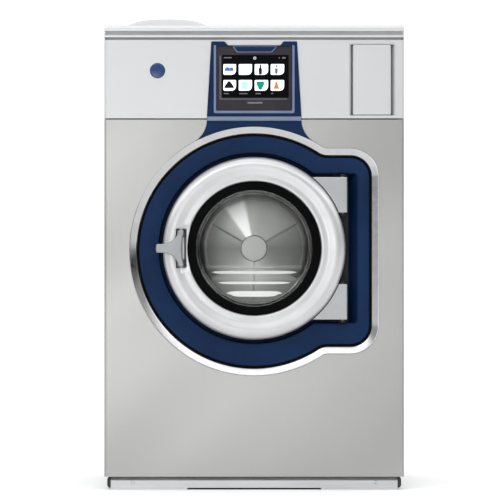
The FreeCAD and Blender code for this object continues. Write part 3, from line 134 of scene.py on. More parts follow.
def brushedStainless():
    # 304 sheet, brushed upright: long faint lines, and a soft cloudiness that breaks the reflections; its broad
    #                             diagonal colour streaks are partly that cloudiness and partly painted reflection
    #                             streaks
    material, tree, shader = startMaterial("brushedStainless304", "#A8A8A7", Metallic=1.0, Roughness=0.36)
    # diagonal streaks lighter and darker in the base colour: painted reflection streaks, with some real cloudiness of
    # the sheet
    sheenStreaks = noiseField(tree, 260, 1.0, (3.2, 1, 1), (0, math.radians(42), 0))
    lines = noiseField(tree, 1.1, 3.0, (1, 1, 160))   # real lines are under 0.1 mm apart, drawn coarser to show
    workSurface(tree, shader, (sheenStreaks, "#A0A09F", "#B0B0AF"), (lines, 0.33, 0.41), (lines, 0.008))
    return material


def silverCoat(name, color, other, metallic):
    # satin silver powder coat: fine metal flake and a slight orange peel
    material, tree, shader = startMaterial(name, color, Metallic=metallic, Roughness=0.4)
    workSurface(tree, shader, (noiseField(tree, 0.9), color, other), (noiseField(tree, 160), 0.36, 0.44),
                (noiseField(tree, 3.2, 1.0), 0.02))
    return material


def castSilver(name, color, other):
    # pressure-cast aluminium under clear satin lacquer: soft broad highlights
    material, tree, shader = startMaterial(name, color, Metallic=0.75, Roughness=0.34)
    shader.inputs["Coat Weight"].default_value = 0.1
    shader.inputs["Coat Roughness"].default_value = 0.3
    workSurface(tree, shader, (noiseField(tree, 70), color, other), (noiseField(tree, 45, 3.0), 0.31, 0.38),
                (noiseField(tree, 2.2, 3.0), 0.01))
    return material


def polishedTrim():
    # mirror-polished stainless bevel: mostly reflection, with faint polishing swirls
    material, tree, shader = startMaterial("polishedStainless", "#B4B4B5", Metallic=1.0, Roughness=0.12)
    workSurface(tree, shader, (noiseField(tree, 30, 3.0), "#AFAFB1", "#B9B9BA"), (noiseField(tree, 14, 4.0), 0.1, 0.16))
    return material


def mouldedPlastic(name, color, other, low, high, grain, height, specular=0.5, spread=60):
    # injection-moulded plastic or coating: spark-eroded grain, slight flow clouding
    material, tree, shader = startMaterial(name, color, Roughness=(low + high) / 2, IOR=1.5)
    shader.inputs["Specular IOR Level"].default_value = specular
    workSurface(tree, shader, (noiseField(tree, spread, 3.0), color, other), (noiseField(tree, 9, 3.0), low, high),
                (noiseField(tree, grain, 3.0), height))
    return material


def workedMetal(name, color, other, low, high, streak, stretch, height, metallic=1.0):
    # sheet, cast or ground metal: streaks or grains of the working, in colour, roughness and relief
    material, tree, shader = startMaterial(name, color, Metallic=metallic, Roughness=(low + high) / 2)
    marks = noiseField(tree, streak, 4.0, stretch)
    workSurface(tree, shader, (marks, color, other), (marks, low, high),
                (noiseField(tree, streak * 0.3, 3.0, stretch), height))
    return material


def galvanised():
    # hot-dip zinc: crystal spangle about a centimetre across, dull grey
    material, tree, shader = startMaterial("galvanisedSteel", "#9C9FA2", Metallic=0.9, Roughness=0.45)
    coordinates = addNode(tree, "ShaderNodeTexCoord")
    cells = addNode(tree, "ShaderNodeTexVoronoi", {"Vector": coordinates.outputs["Object"], "Scale": 1 / (11 * mm)})
    spangle = cells.outputs["Distance"]
    workSurface(tree, shader, (spangle, "#94979A", "#A8ABAE"), (noiseField(tree, 9), 0.35, 0.55), (spangle, 0.02))
    return material


def clearGlass():
    # pressed borosilicate bowl: clear, slightly wavy from the press
    material, tree, shader = startMaterial("clearBorosilicate", "#FAFCFB", Roughness=0.0, IOR=1.47)
    shader.inputs["Transmission Weight"].default_value = 1.0
    workSurface(tree, shader, relief=(noiseField(tree, 140, 0.0), 0.01))
    return material


def frostedGlass():
    # ribs of the same glass, ground on their faces: they catch light from above and glow whitish
    material, tree, shader = startMaterial("groundBorosilicate", "#F2F4F2", Roughness=0.35, IOR=1.47)
    shader.inputs["Transmission Weight"].default_value = 0.1
    workSurface(tree, shader, None, (noiseField(tree, 12), 0.3, 0.4), (noiseField(tree, 1.5), 0.02))
    return material


def screenGlass():
    # black cover glass over the lit display, with a trace of fingerprints
    material, tree, shader = startMaterial("blackCoverGlass", "#040506", Roughness=0.1, IOR=1.52)
    shader.inputs["Specular IOR Level"].default_value = 0.08
    workSurface(tree, shader, roughness=(noiseField(tree, 24, 3.0), 0.06, 0.16))
    return material


def litInk(name, color, glow):
    # a lit area of the screen, slightly uneven as a backlit panel is
    material, tree, shader = startMaterial(name, color, Roughness=0.3, IOR=1.5)
    shader.inputs["Specular IOR Level"].default_value = 0.1
    shader.inputs["Emission Color"].default_value = linear(color)
    shader.inputs["Emission Strength"].default_value = glow
    workSurface(tree, shader, roughness=(noiseField(tree, 2.5, 1.0), 0.25, 0.35))
    return material


def circularBrushed():
    # stainless disc brushed in circles round the axis: fine rings, and fans of light and shade that run to the hub,
    # painted into the base colour by angle round the axis (painted highlight and painted shade)
    material, tree, shader = startMaterial("circularBrushedStainless", "#DCDDDA", Metallic=1.0, Roughness=0.25,
                                           Anisotropic=0.6)
    coordinates = addNode(tree, "ShaderNodeTexCoord")
    centre = addNode(tree, "ShaderNodeMapping",
                     {"Vector": coordinates.outputs["Object"], "Location": (0, 0, -axisZ * mm)})
    apart = addNode(tree, "ShaderNodeSeparateXYZ", {"Vector": centre.outputs[0]})
    flat = addNode(tree, "ShaderNodeCombineXYZ", {"X": apart.outputs["X"], "Y": apart.outputs["Z"]})
    radius = addNode(tree, "ShaderNodeVectorMath", {0: flat.outputs[0]}, operation="LENGTH")
    rings = addNode(tree, "ShaderNodeTexNoise", {"W": radius.outputs["Value"], "Scale": 1 / (3.0 * mm), "Detail": 2.0},
                    noise_dimensions="1D")           # real brush lines are 0.1 mm, drawn coarser to show
    workSurface(tree, shader, roughness=(rings.outputs["Fac"], 0.28, 0.31))
    angle = addNode(tree, "ShaderNodeMath", {0: apart.outputs["Z"], 1: apart.outputs["X"]}, operation="ARCTAN2")
    turns = addNode(tree, "ShaderNodeMapRange", {"Value": angle.outputs[0], "From Min": -math.pi, "From Max": math.pi})
    # painted highlight and painted shade: the base colour is set by angle round the axis, with white fans and darker
    # fans
    paintedFans = addNode(tree, "ShaderNodeValToRGB", {"Fac": turns.outputs[0]})
    tones = [(0.0, "#7C7C7A"), (0.08, "#949491"), (0.25, "#C8C8C5"), (0.42, "#949491"), (0.5, "#7E7E7B"),
             (0.582, "#989895"), (0.60, "#A9A9A6"), (0.72, "#A4A4A1"), (0.775, "#B4B4B1"), (0.788, "#FFFFFF"),
             (0.842, "#FFFFFF"), (0.856, "#BDBDBA"), (0.91, "#A3A3A0"), (1.0, "#7C7C7A")]
    rampTones(paintedFans, [(position, linear(tone)) for position, tone in tones])
    tree.links.new(paintedFans.outputs[0], shader.inputs["Base Color"])
    tangent = addNode(tree, "ShaderNodeTangent", direction_type="RADIAL", axis="Y")
    tree.links.new(tangent.outputs[0], shader.inputs["Tangent"])
    return material


finishes = {
    "front_steel": brushedStainless(),
    "trim_steel": polishedTrim(),
    "cover_silver": silverCoat("satinSilverLid", "#BFC0C1", "#CBCCCD", 0.6),
    "panel_silver": silverCoat("satinSilverCoat", "#BDBEBF", "#C5C6C7", 0.5),
    "ring_silver": castSilver("lacqueredCastAluminium", "#BABBBC", "#C2C3C4"),
    # the handle and the hinge arms are the ring's cast silver made darker: painted shade
    "handle_silver": castSilver("lacqueredCastHandle", "#888A8C", "#909294"),
    "arm_silver": castSilver("lacqueredCastArms", "#A2A4A6", "#AAACAE"),
    "navy_plastic": mouldedPlastic("navyMouldedAbs", "#11223F", "#142A4A", 0.34, 0.44, 0.9, 0.015, 0.06, 120),
    "frame_steel": galvanised(),
    "glass": clearGlass(),
    "screen_glass": screenGlass(),
    "frosted_glass": frostedGlass(),
    "side_paint": mouldedPlastic("greyPowderCoat", "#B7B9BB", "#BBBDBF", 0.46, 0.52, 2.2, 0.03),
    "dark_plastic": mouldedPlastic("blackMouldedPolypropylene", "#17181A", "#202124", 0.45, 0.6, 0.9, 0.03),
    "hinge_black": mouldedPlastic("blackEpoxyCoat", "#0E0F11", "#16171A", 0.35, 0.5, 1.5, 0.03, 0.3),
    "seal_rubber": mouldedPlastic("blackEpdmRubber", "#020203", "#050506", 0.5, 0.7, 1.2, 0.03, 0.04),
    "hose_rubber": mouldedPlastic("ribbedHoseRubber", "#141415", "#1C1C1D", 0.6, 0.75, 1.4, 0.05),
    "bezel_plastic": mouldedPlastic("charcoalMouldedAbs", "#2A272C", "#312E33", 0.4, 0.5, 0.6, 0.015, 0.12),
    "white_plastic": mouldedPlastic("whitePolypropylene", "#D8DADB", "#E2E3E4", 0.35, 0.5, 1.0, 0.015),
    "stripe_plastic": mouldedPlastic("slateMouldedAbs", "#3A3D41", "#42454A", 0.4, 0.55, 1.0, 0.03),
    "grey_plastic": mouldedPlastic("greyMouldedNylon", "#7C7F83", "#86898D", 0.4, 0.55, 1.0, 0.03),
    # grey strip colour for the lid's groove and the gap under the lid: painted shade
    "seal_grey": mouldedPlastic("greyFoamSeal", "#8A8B8C", "#949596", 0.6, 0.8, 2.5, 0.05, 0.2),
    "ledge_blue": mouldedPlastic("paleBlueLacquer", "#5E6E82", "#67778B", 0.3, 0.4, 1.5, 0.01),
    # lighter blue-grey for edges that catch the light: painted highlight
    "bead_blue": mouldedPlastic("blueGreyEdgeLacquer", "#5A6585", "#65708F", 0.3, 0.4, 1.5, 0.01),
    "badge_blue": mouldedPlastic("blueEnamel", "#16305C", "#1B3A6C", 0.12, 0.2, 4, 0.01),
    "screw_steel": workedMetal("zincPlatedSteel", "#B4B7BA", "#C6C9CB", 0.22, 0.36, 5, (1, 1, 1), 0.02),
    "base_steel": workedMetal("brightZincSheet", "#BCBDBF", "#CACBCC", 0.35, 0.45, 22, (6, 1, 1), 0.02),
    "pin_steel": workedMetal("groundSteel", "#B7B8B9", "#C8C9CA", 0.15, 0.25, 2, (1, 1, 8), 0.01),
    "drum_steel": workedMetal("drumStainless", "#C4C5C2", "#D2D3CF", 0.16, 0.28, 18, (6, 1, 6), 0.02),
    "iron": workedMetal("paintedCastIron", "#46484B", "#54565A", 0.45, 0.65, 4, (1, 1, 1), 0.12, 0.3),
    "aluminium": workedMetal("dieCastAluminium", "#A9ABAD", "#BABCBE", 0.35, 0.5, 3, (1, 1, 1), 0.05),
    "spring_steel": workedMetal("phosphatedSpringSteel", "#4C4E50", "#5B5D5F", 0.35, 0.5, 3, (1, 1, 1), 0.03),
    "drum_disc": circularBrushed(),
    "hub_silver": workedMetal("satinStainlessHub", "#CFD0CC", "#D5D6D2", 0.35, 0.42, 6, (1, 1, 1), 0.004),
    "lit_white": litInk("litWhiteTile", "#F4F7F8", 0.75),
    "lit_blue": litInk("litBlue", "#3F62A5", 0.4),
    "lit_grey": litInk("litGrey", "#A9ADB2", 0.35),
    "lit_dim": litInk("litDimGrey", "#5C6066", 0.25),
    "lit_black": litInk("litBlack", "#101214", 0.0),
    "lit_sky": litInk("litSky", "#9CBFD6", 0.5),
    "lit_teal": litInk("litTeal", "#0C7D66", 0.4),
    "lit_amber": litInk("litAmber", "#A8703A", 0.45),
}
print("materials made:", len(finishes))


# ---- shape helpers ----

def arcPoints(cx, cz, radius, start, end, steps):
    # angles in degrees, both ends included
    angles = [math.radians(start + (end - start) * k / steps) for k in range(steps + 1)]
    return [(cx + radius * math.cos(a), cz + radius * math.sin(a)) for a in angles]


def around(count):
    # cosine and sine of evenly spaced angles
    return [(math.cos(math.tau * k / count), math.sin(math.tau * k / count)) for k in range(count)]


def roundedRect(x0, x1, z0, z1, radius, steps=6):
    corners = ((x1 - radius, z0 + radius, -90), (x1 - radius, z1 - radius, 0),
               (x0 + radius, z1 - radius, 90), (x0 + radius, z0 + radius, 180))
    return [p for cx, cz, start in corners for p in arcPoints(cx, cz, radius, start, start + 90, steps)]


def roundedShape(points, radii, steps=5):
    # a closed outline with each corner rounded
    result = []
    for k, (x, z) in enumerate(points):
        corner, before, after = Vector((x, z)), Vector(points[k - 1]), Vector(points[(k + 1) % len(points)])
        toBefore, toAfter = (before - corner), (after - corner)
        half = toBefore.angle(toAfter) / 2
        reach = min(radii[k] / math.tan(half), toBefore.length * 0.49, toAfter.length * 0.49)
        start, end = corner + toBefore.normalized() * reach, corner + toAfter.normalized() * reach
        for s in range(steps + 1):
            t = s / steps
            spot = start * (1 - t) ** 2 + corner * 2 * t * (1 - t) + end * t * t
            result.append((spot.x, spot.y))
    return result


def softCurve(points, steps):
    # a smooth open line through the points
    ends = [tuple(2 * a - b for a, b in zip(points[0], points[1])),
            tuple(2 * a - b for a, b in zip(points[-1], points[-2]))]
    line = [ends[0]] + list(points) + [ends[1]]
    result = []
    for k in range(1, len(line) - 2):
        p0, p1, p2, p3 = line[k - 1:k + 3]
        for s in range(steps):
            t = s / steps
            result.append(tuple(0.5 * (2 * b + (c - a) * t + (2 * a - 5 * b + 4 * c - d) * t * t
                                       + (3 * b - a - 3 * c + d) * t ** 3) for a, b, c, d in zip(p0, p1, p2, p3)))
    return result + [tuple(points[-1])]


def keyhole(radius, halfHeight, right, corner, blend, centreZ):
    # a circle joined to a squared right-hand side, anticlockwise, always with the same number of points
    blendX = math.sqrt((radius + blend) ** 2 - (halfHeight + blend) ** 2)
    lean = math.degrees(math.atan2(halfHeight + blend, blendX))
    half = arcPoints(0, 0, radius, 180, 360 - lean, 70)
    half += arcPoints(blendX, -halfHeight - blend, blend, 180 - lean, 90, 12)
    half += [(blendX + (right - corner - blendX) * k / 6, -halfHeight) for k in range(1, 6)]
    half += arcPoints(right - corner, corner - halfHeight, corner, -90, 0, 12)
    half += [(right, (corner - halfHeight) * (1 - k / 16)) for k in range(1, 17)]
    mirrored = [(x, -z) for x, z in reversed(half[1:-1])]
    return [(x, centreZ + z) for x, z in half + mirrored]


def ringMesh(rings, closeSection=True):
    # joins loops of points, each with as many points as the next, into one skin
    bm = bmesh.new()
    loops = [[bm.verts.new(p) for p in ring] for ring in rings]
    pairs = list(zip(loops, loops[1:] + loops[:1] if closeSection else loops[1:]))
    for low, high in pairs:
        count = len(low)
        for k in range(count):
            bm.faces.new((low[k], low[(k + 1) % count], high[(k + 1) % count], high[k]))
    return bm


def turnedMesh(profile, segments=144, x=0.0, z=None, closeSection=True):
    # turns (radius, depth) points about an axis along Y
    centre = axisZ if z is None else z
    rings = [[at(x + r * c, depth, centre + r * s) for c, s in around(segments)] for r, depth in profile]
    return ringMesh(rings, closeSection)


def settledMesh(holder):
    return bpy.data.meshes.new_from_object(holder.evaluated_get(bpy.context.evaluated_depsgraph_get()))


def capped(bm):
    bmesh.ops.holes_fill(bm, edges=[edge for edge in bm.edges if edge.is_boundary], sides=0)
    return bm


def plateMesh(outlines, front, back, edge=0.0, steps=2):
    # a flat plate facing the front from (x, z) outlines, the first the outer one and the rest its holes
    curve = bpy.data.curves.new("plate", "CURVE")
    curve.dimensions = "2D"
    curve.fill_mode = "BOTH"
    curve.extrude = ((back - front) / 2 - edge) * mm
    curve.bevel_depth = edge * mm
    curve.bevel_resolution = steps
    curve.offset = -edge * mm
    for points in outlines:
        spline = curve.splines.new("POLY")
        spline.points.add(len(points) - 1)
        spline.use_cyclic_u = True
        for target, (x, z) in zip(spline.points, points):
            target.co = (x * mm, z * mm, 0, 1)
    holder = bpy.data.objects.new("plate", curve)
    scene.collection.objects.link(holder)
    mesh = settledMesh(holder)
    bpy.data.objects.remove(holder)
    bpy.data.curves.remove(curve)
    mesh.transform(Matrix.Translation(at(0, (front + back) / 2, 0)) @ Matrix.Rotation(math.pi / 2, 4, "X"))
    bm = bmesh.new()
    bm.from_mesh(mesh)
    bpy.data.meshes.remove(mesh)
    return bm


def blockMesh(x0, x1, d0, d1, z0, z1, edge, steps=2):
    bm = bmesh.new()
    bmesh.ops.create_cube(bm, size=1.0)
    low, high = at(x0, d0, z0), at(x1, d1, z1)
    for vert in bm.verts:
        vert.co = Vector([low[k] if vert.co[k] < 0 else high[k] for k in range(3)])
    bmesh.ops.bevel(bm, geom=bm.edges[:], offset=edge * mm, segments=steps, affect="EDGES", profile=0.5)
    return bm


def joined(*meshes):
    # several loose shapes in one mesh
    whole = bmesh.new()
    for bm in meshes:
        part = bpy.data.meshes.new("part")
        bm.to_mesh(part)
        bm.free()
        whole.from_mesh(part)
        bpy.data.meshes.remove(part)
    return whole


def finishPiece(name, bm, finish, body, replaced=None, smooth=32, weld=0.005, wall=0.0, blendTo=None):
    # replaced is the CAD node that the piece stands for; a piece that stands for none names a slot instead
    bmesh.ops.remove_doubles(bm, verts=bm.verts, dist=weld * mm)
    bmesh.ops.dissolve_degenerate(bm, dist=0.001 * mm, edges=bm.edges)
    bmesh.ops.recalc_face_normals(bm, faces=bm.faces)
    mesh = bpy.data.meshes.new(name)
    bm.to_mesh(mesh)
    bm.free()
    piece = bpy.data.objects.new(name, mesh)
    scene.collection.objects.link(piece)
    mesh.materials.append(finishes[finish])
    mesh.polygons.foreach_set("use_smooth", [True] * len(mesh.polygons))
    mesh.set_sharp_from_angle(angle=math.radians(smooth))
    if wall:
        thicken = piece.modifiers.new("thicken", "SOLIDIFY")
        thicken.thickness = wall * mm
        thicken.offset = -1
    weigh = piece.modifiers.new("weigh", "WEIGHTED_NORMAL")
    weigh.keep_sharp = True
    piece.data = settledMesh(piece)
    piece.modifiers.clear()
    if blendTo:
        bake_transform(piece)
    else:
        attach(piece, body)
    if replaced:
        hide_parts(replaced)


def nodeCopy(node):
    # a CAD node's loose triangles, merged into one skin
    bm = bmesh.new()
    bm.from_mesh(frame["nodes"][node].data)
    bmesh.ops.remove_doubles(bm, verts=bm.verts, dist=0.01 * mm)
    return bm


def camel(name):
    first, *rest = name.split("_")
    return first + "".join(part.capitalize() for part in rest)


# ---- Geometry Nodes for what repeats ----

def repeatTree():
    # puts a shape on every point, turned by the point's own angle and spun at random about its axis
    tree = bpy.data.node_groups.new("setOnPoints", "GeometryNodeTree")
    tree.interface.new_socket("Geometry", in_out="OUTPUT", socket_type="NodeSocketGeometry")
    for label, kind in (("Geometry", "Geometry"), ("Shape", "Object"), ("Spin", "Float"), ("Seed", "Int"),
                        ("Finish", "Material")):
        tree.interface.new_socket(label, in_out="INPUT", socket_type="NodeSocket" + kind)
    given = addNode(tree, "NodeGroupInput")
    shape = addNode(tree, "GeometryNodeObjectInfo", {"Object": given.outputs["Shape"]})
    spin = addNode(tree, "FunctionNodeRandomValue",
                   {2: 0.0, 3: given.outputs["Spin"], "Seed": given.outputs["Seed"]}, data_type="FLOAT")
    turn = addNode(tree, "GeometryNodeInputNamedAttribute", {"Name": "turn"}, data_type="FLOAT")
    way = addNode(tree, "ShaderNodeCombineXYZ", {"Y": spin.outputs[1], "Z": turn.outputs[0]})
    placed = addNode(tree, "GeometryNodeInstanceOnPoints",
                     {"Points": given.outputs["Geometry"], "Instance": shape.outputs["Geometry"],
                      "Rotation": way.outputs[0]})
    real = addNode(tree, "GeometryNodeRealizeInstances", {"Geometry": placed.outputs[0]})
    dressed = addNode(tree, "GeometryNodeSetMaterial",
                      {"Geometry": real.outputs[0], "Material": given.outputs["Finish"]})
    addNode(tree, "NodeGroupOutput", {"Geometry": dressed.outputs[0]})
    return tree


def drumTree():
    # a tile with a hole is set on flat points, and the sheet of tiles is then rolled into a drum
    tree = bpy.data.node_groups.new("perforatedDrum", "GeometryNodeTree")
    tree.interface.new_socket("Geometry", in_out="OUTPUT", socket_type="NodeSocketGeometry")
    for label, kind in (("Geometry", "Geometry"), ("Tile", "Object"), ("Radius", "Float"), ("Centre", "Vector"),
                        ("Finish", "Material")):
        tree.interface.new_socket(label, in_out="INPUT", socket_type="NodeSocket" + kind)
    given = addNode(tree, "NodeGroupInput").outputs
    tile = addNode(tree, "GeometryNodeObjectInfo", {"Object": given["Tile"]})
    placed = addNode(tree, "GeometryNodeInstanceOnPoints",
                     {"Points": given["Geometry"], "Instance": tile.outputs["Geometry"]})
    real = addNode(tree, "GeometryNodeRealizeInstances", {"Geometry": placed.outputs[0]})
    spot = addNode(tree, "ShaderNodeSeparateXYZ", {0: addNode(tree, "GeometryNodeInputPosition").outputs[0]}).outputs
    angle = addNode(tree, "ShaderNodeMath", {0: spot["X"], 1: given["Radius"]}, operation="DIVIDE")
    reach = addNode(tree, "ShaderNodeMath", {0: spot["Z"], 1: given["Radius"]}, operation="ADD")
    arm = addNode(tree, "ShaderNodeCombineXYZ", {"X": reach.outputs[0], "Y": spot["Y"]})
    rolled = addNode(tree, "ShaderNodeVectorRotate",
                     {"Vector": arm.outputs[0], "Axis": (0, -1, 0), "Angle": angle.outputs[0]})
    lifted = addNode(tree, "ShaderNodeVectorMath", {0: rolled.outputs[0], 1: given["Centre"]}, operation="ADD")
    moved = addNode(tree, "GeometryNodeSetPosition", {"Geometry": real.outputs[0], "Position": lifted.outputs[0]})
    sewn = addNode(tree, "GeometryNodeMergeByDistance", {"Geometry": moved.outputs[0], "Distance": 0.00005})
    dressed = addNode(tree, "GeometryNodeSetMaterial", {"Geometry": sewn.outputs[0], "Material": given["Finish"]})
    addNode(tree, "NodeGroupOutput", {"Geometry": dressed.outputs[0]})
    return tree


def grown(tree, values, points, turns=None):
    # runs a tree on the points and gives its result as a bmesh
    mesh = bpy.data.meshes.new("points")
    mesh.from_pydata(list(points), [], [])
    attribute = mesh.attributes.new("turn", "FLOAT", "POINT")
    attribute.data.foreach_set("value", turns or [0.0] * len(points))
    holder = bpy.data.objects.new("points", mesh)
    scene.collection.objects.link(holder)
    modifier = holder.modifiers.new("repeat", "NODES")
    modifier.node_group = tree
    for item in tree.interface.items_tree:
        if item.in_out == "INPUT" and item.name in values:
            modifier[item.identifier] = values[item.name]
    result = settledMesh(holder)
    bm = bmesh.new()
    bm.from_mesh(result)
    bpy.data.objects.remove(holder)
    bpy.data.meshes.remove(result)
    return bm


def shapeObject(name, bm):
    # a shape for a tree to repeat; it isn't shown itself
    bmesh.ops.remove_doubles(bm, verts=bm.verts, dist=0.005 * mm)
    bmesh.ops.recalc_face_normals(bm, faces=bm.faces)
    mesh = bpy.data.meshes.new(name)
    bm.to_mesh(mesh)
    bm.free()
    return bpy.data.objects.new(name, mesh)


def spunShape(profile, segments=16):
    # (radius, distance along Y) points turned about the Y axis through the origin
    return ringMesh([[(r * mm * c, d * mm, r * mm * s) for c, s in around(segments)] for r, d in profile], False)


setOnPoints = repeatTree()
perforatedDrum = drumTree()
print("repeat trees built")


# ---- top cover ----

lid = {"halfWidth": 360, "top": 1115, "rear": 603, "grid": 8, "sheet": 1.5,
       "bellX": -214, "bellDepth": 285, "bellRadius": 128, "bellHeight": 29.7}


def lidHeight(x, depth):
    away = math.hypot(x - lid["bellX"], depth - lid["bellDepth"]) / lid["bellRadius"]
    return lid["bellHeight"] * (1 - away ** 4) ** 1.5 if away < 1 else 0.0


lidTop = lid["top"]
lidProfile = [(2.0, 1085.5), (1.5, 1087.0), (1.2, 1088.8), (1.5, 1090.8), (2.8, 1092.2), (5.0, 1092.8), (5.2, 1094.5),
              (5.2, 1098.8), (4.4, 1100.2), (1.6, 1101.0), (0.5, 1102.4), (0.05, 1105.0), (0.0, 1107.5),
              (0.35, 1110.2), (1.3, 1112.6), (2.9, 1114.3), (5.2, lidTop)]
steps = int((lid["rear"] - 12) / lid["grid"])
lidProfile += [(5.2 + (lid["rear"] - 9.5) * k / steps, lidTop) for k in range(1, steps)]
lidProfile += [(lid["rear"] - 3.2, lidTop), (lid["rear"] - 1.1, lidTop - 1.0), (lid["rear"], lidTop - 3.2),
               (lid["rear"], 1085.5)]
columns = [(-lid["halfWidth"], 3.0), (-lid["halfWidth"] + 0.5, 1.1), (-lid["halfWidth"] + 1.6, 0.3)]
inner = lid["halfWidth"] - 3.5
columns += [(-inner + 2 * inner * k / 88, 0.0) for k in range(89)]
columns += [(-x, drop) for x, drop in reversed(columns[:3])]
bm = bmesh.new()
lines = [[bm.verts.new(at(x, depth, z + (lidHeight(x, depth) if z > lidTop - 0.1 else 0)
                          - (drop if z > lidTop - 6 else 0))) for depth, z in lidProfile] for x, drop in columns]
for first, second in zip(lines, lines[1:]):
    for k in range(len(lidProfile) - 1):
        bm.faces.new((first[k], second[k], second[k + 1], first[k + 1]))
bm.faces.new(lines[0])
bm.faces.new(list(reversed(lines[-1])))
finishPiece("topCover", bm, "cover_silver", "cabinet", "top_cover", wall=lid["sheet"])
# grey strips in the lid's groove and in the gap under the lid stand in for the shade there: painted shade
shadeStrips = [blockMesh(-357.5, 357.5, 4.3, 5.4, 1093.2, 1100.4, 0.4)]
shadeStrips += [blockMesh(-354, 354, 5.5, 8.5, 1079.6, 1085.7, 0.5)]
finishPiece("coverSeals", joined(*shadeStrips), "seal_grey", "cabinet")
print("lid made")


# ---- opening: bright trim, blue surround ----

opening = {"radius": 281, "halfHeight": 228.5, "corner": 50, "blend": 45, "centreZ": 572.9}
recess = {"radius": 229, "halfHeight": 179.5, "corner": 8, "blend": 20, "lean": 19, "floor": 37, "face": 2}


def openingRing(offset, depth):
    o = opening
    points = keyhole(o["radius"] + offset, o["halfHeight"] + offset, o["radius"] + offset,
                     o["corner"] + offset, o["blend"] - offset, o["centreZ"])
    return [at(x, depth, z) for x, z in points]


def recessPoints(offset, depth):
    r = recess
    lean = r["lean"] * (r["floor"] - depth) / (r["floor"] - r["face"])
    return keyhole(r["radius"] + offset, r["halfHeight"] + offset, r["radius"] + offset + lean,
                   r["corner"] + max(offset, 0), r["blend"] - offset, axisZ)


def recessRing(offset, depth):
    return [at(x, depth, z) for x, z in recessPoints(offset, depth)]


def between(first, second, share, lift=0.0):
    return [a.lerp(b, share) - Vector((0, lift * mm, 0)) for a, b in zip(first, second)]


trimSection = [(18.2, 1.4), (18.1, 0.4), (17.4, 0.0), (16.4, 0.15), (12.0, 1.5), (7.0, 3.1), (3.4, 4.3), (2.0, 5.0),
               (1.3, 6.2), (1.2, 8.0), (1.2, 25.0), (2.7, 25.0), (2.7, 8.4), (3.6, 6.0), (10.0, 3.7), (16.6, 1.8)]
finishPiece("openingTrim", ringMesh([openingRing(offset, depth) for offset, depth in trimSection]),
            "trim_steel", "cabinet", "opening_trim")

outerEdge = openingRing(-8.3, recess["face"])
innerEdge = recessRing(3.0, recess["face"])
surroundRings = [openingRing(-0.3, 30), openingRing(-0.3, 18)]
surroundRings += [openingRing(-0.3 - 8 * (1 - math.cos(a)), 17 - 15 * math.sin(a))
                  for a in (math.radians(9 * k) for k in range(1, 10))]
surroundRings += [outerEdge]
surroundRings += [between(outerEdge, innerEdge, k / 8, 1.4 * math.sin(math.pi * k / 8)) for k in range(1, 8)]
surroundRings += [innerEdge, recessRing(1.7, 2.3), recessRing(0.6, 3.2), recessRing(0.0, 5.0), recessRing(0.0, 20.0),
                  recessRing(0.0, 35.5), recessRing(-1.2, 36.9), recessRing(3.0, 37.1), recessRing(3.0, 7.0),
                  openingRing(-3.3, 8.0), openingRing(-3.3, 30)]
floorHole = arcPoints(0, axisZ, 172.5, 0, 357.5, 143)
hookSlot = roundedRect(-214, -190, axisZ - 12, axisZ + 12, 3)
surroundFloor = plateMesh([recessPoints(2.8, 37), floorHole, hookSlot], 37, 40)
gapSeal = [(-0.2, 12), (-0.2, 4.5), (-1.2, 3.0), (-3.4, 2.3), (-5.2, 2.5), (-6.2, 4.0), (-6.2, 12)]
finishPiece("openingSeal", ringMesh([openingRing(offset, depth) for offset, depth in gapSeal]), "seal_rubber",
            "cabinet")
finishPiece("doorSurround", joined(ringMesh(surroundRings), surroundFloor), "navy_plastic", "cabinet",
            "door_surround")
print("opening made")


# ---- display ----

display = {"halfTop": 102.8, "halfBottom": 113.4, "top": 1075.9, "low": 896.3, "front": -4.0, "screenFront": -1.5}
tongue = [(-72.5, display["top"]), (-62.8, display["top"] - 9.4)]
rim = [(-display["halfBottom"], display["low"]), (-display["halfTop"], display["top"])] + tongue
rim += [(-x, z) for x, z in reversed(rim)]
surroundRim = roundedShape(rim, [1.5, 7, 3, 2, 2, 3, 7, 1.5])
pocket = roundedRect(-90.3, 90.3, 907.7, 1064.7, 2)
ledge = blockMesh(-113.4, 113.4, -5.0, 11.5, 885.2, 896.0, 2.4, 3)
skirtSide = arcPoints(-173.7, 887.9, 60.3, -2.8, -46, 12)
lean = 180 - math.degrees(math.acos(abs(skirtSide[-1][0]) / 299.4))
skirt = skirtSide + arcPoints(0, 572.9, 299.4, lean, 180 - lean, 48) + [(-x, z) for x, z in reversed(skirtSide)]
finishPiece("displaySurround", joined(plateMesh([surroundRim, pocket], display["front"], 11.5, 1.4, 3),
                                      plateMesh([skirt], -2.5, 7.4, 0.9)),
            "navy_plastic", "cabinet", "display_surround")
finishPiece("displayLedge", ledge, "ledge_blue", "cabinet")

# a lighter blue-grey bead round the bezel stands in for the light caught on the pocket's edge: painted highlight
bead = [(-97, 1067), (-97, 903.6), (97, 903.6), (97, 1067), (91.2, 1067), (91.2, 909.6), (-91.2, 909.6), (-91.2, 1067)]
finishPiece("displayBead", plateMesh([roundedShape(bead, [2.5, 5, 5, 2.5, 2.5, 3, 3, 2.5])], -4.9, -2.0, 0.8),
            "bead_blue", "cabinet")

window = roundedRect(-77.0, 83.0, 941.0, 1043.5, 1.5)
finishPiece("displayBezel", plateMesh([roundedRect(-90, 90, 908, 1064.4, 2), window], -1.8, 5, 0.5),
            "bezel_plastic", "cabinet", "display_bezel")
finishPiece("displayGlass", plateMesh([roundedRect(-76.8, 82.8, 941.2, 1043.3, 1.5)], -1.5, 4.8, 0.2),
            "screen_glass", "cabinet", "display_glass")

tab = [(-52, 1064.2), (-41.5, 1049.6), (42.5, 1049.6), (55.5, 1064.2)]
tabInner = [(-49, 1063.0), (-39.9, 1051.4), (40.9, 1051.4), (52.5, 1063.0)]
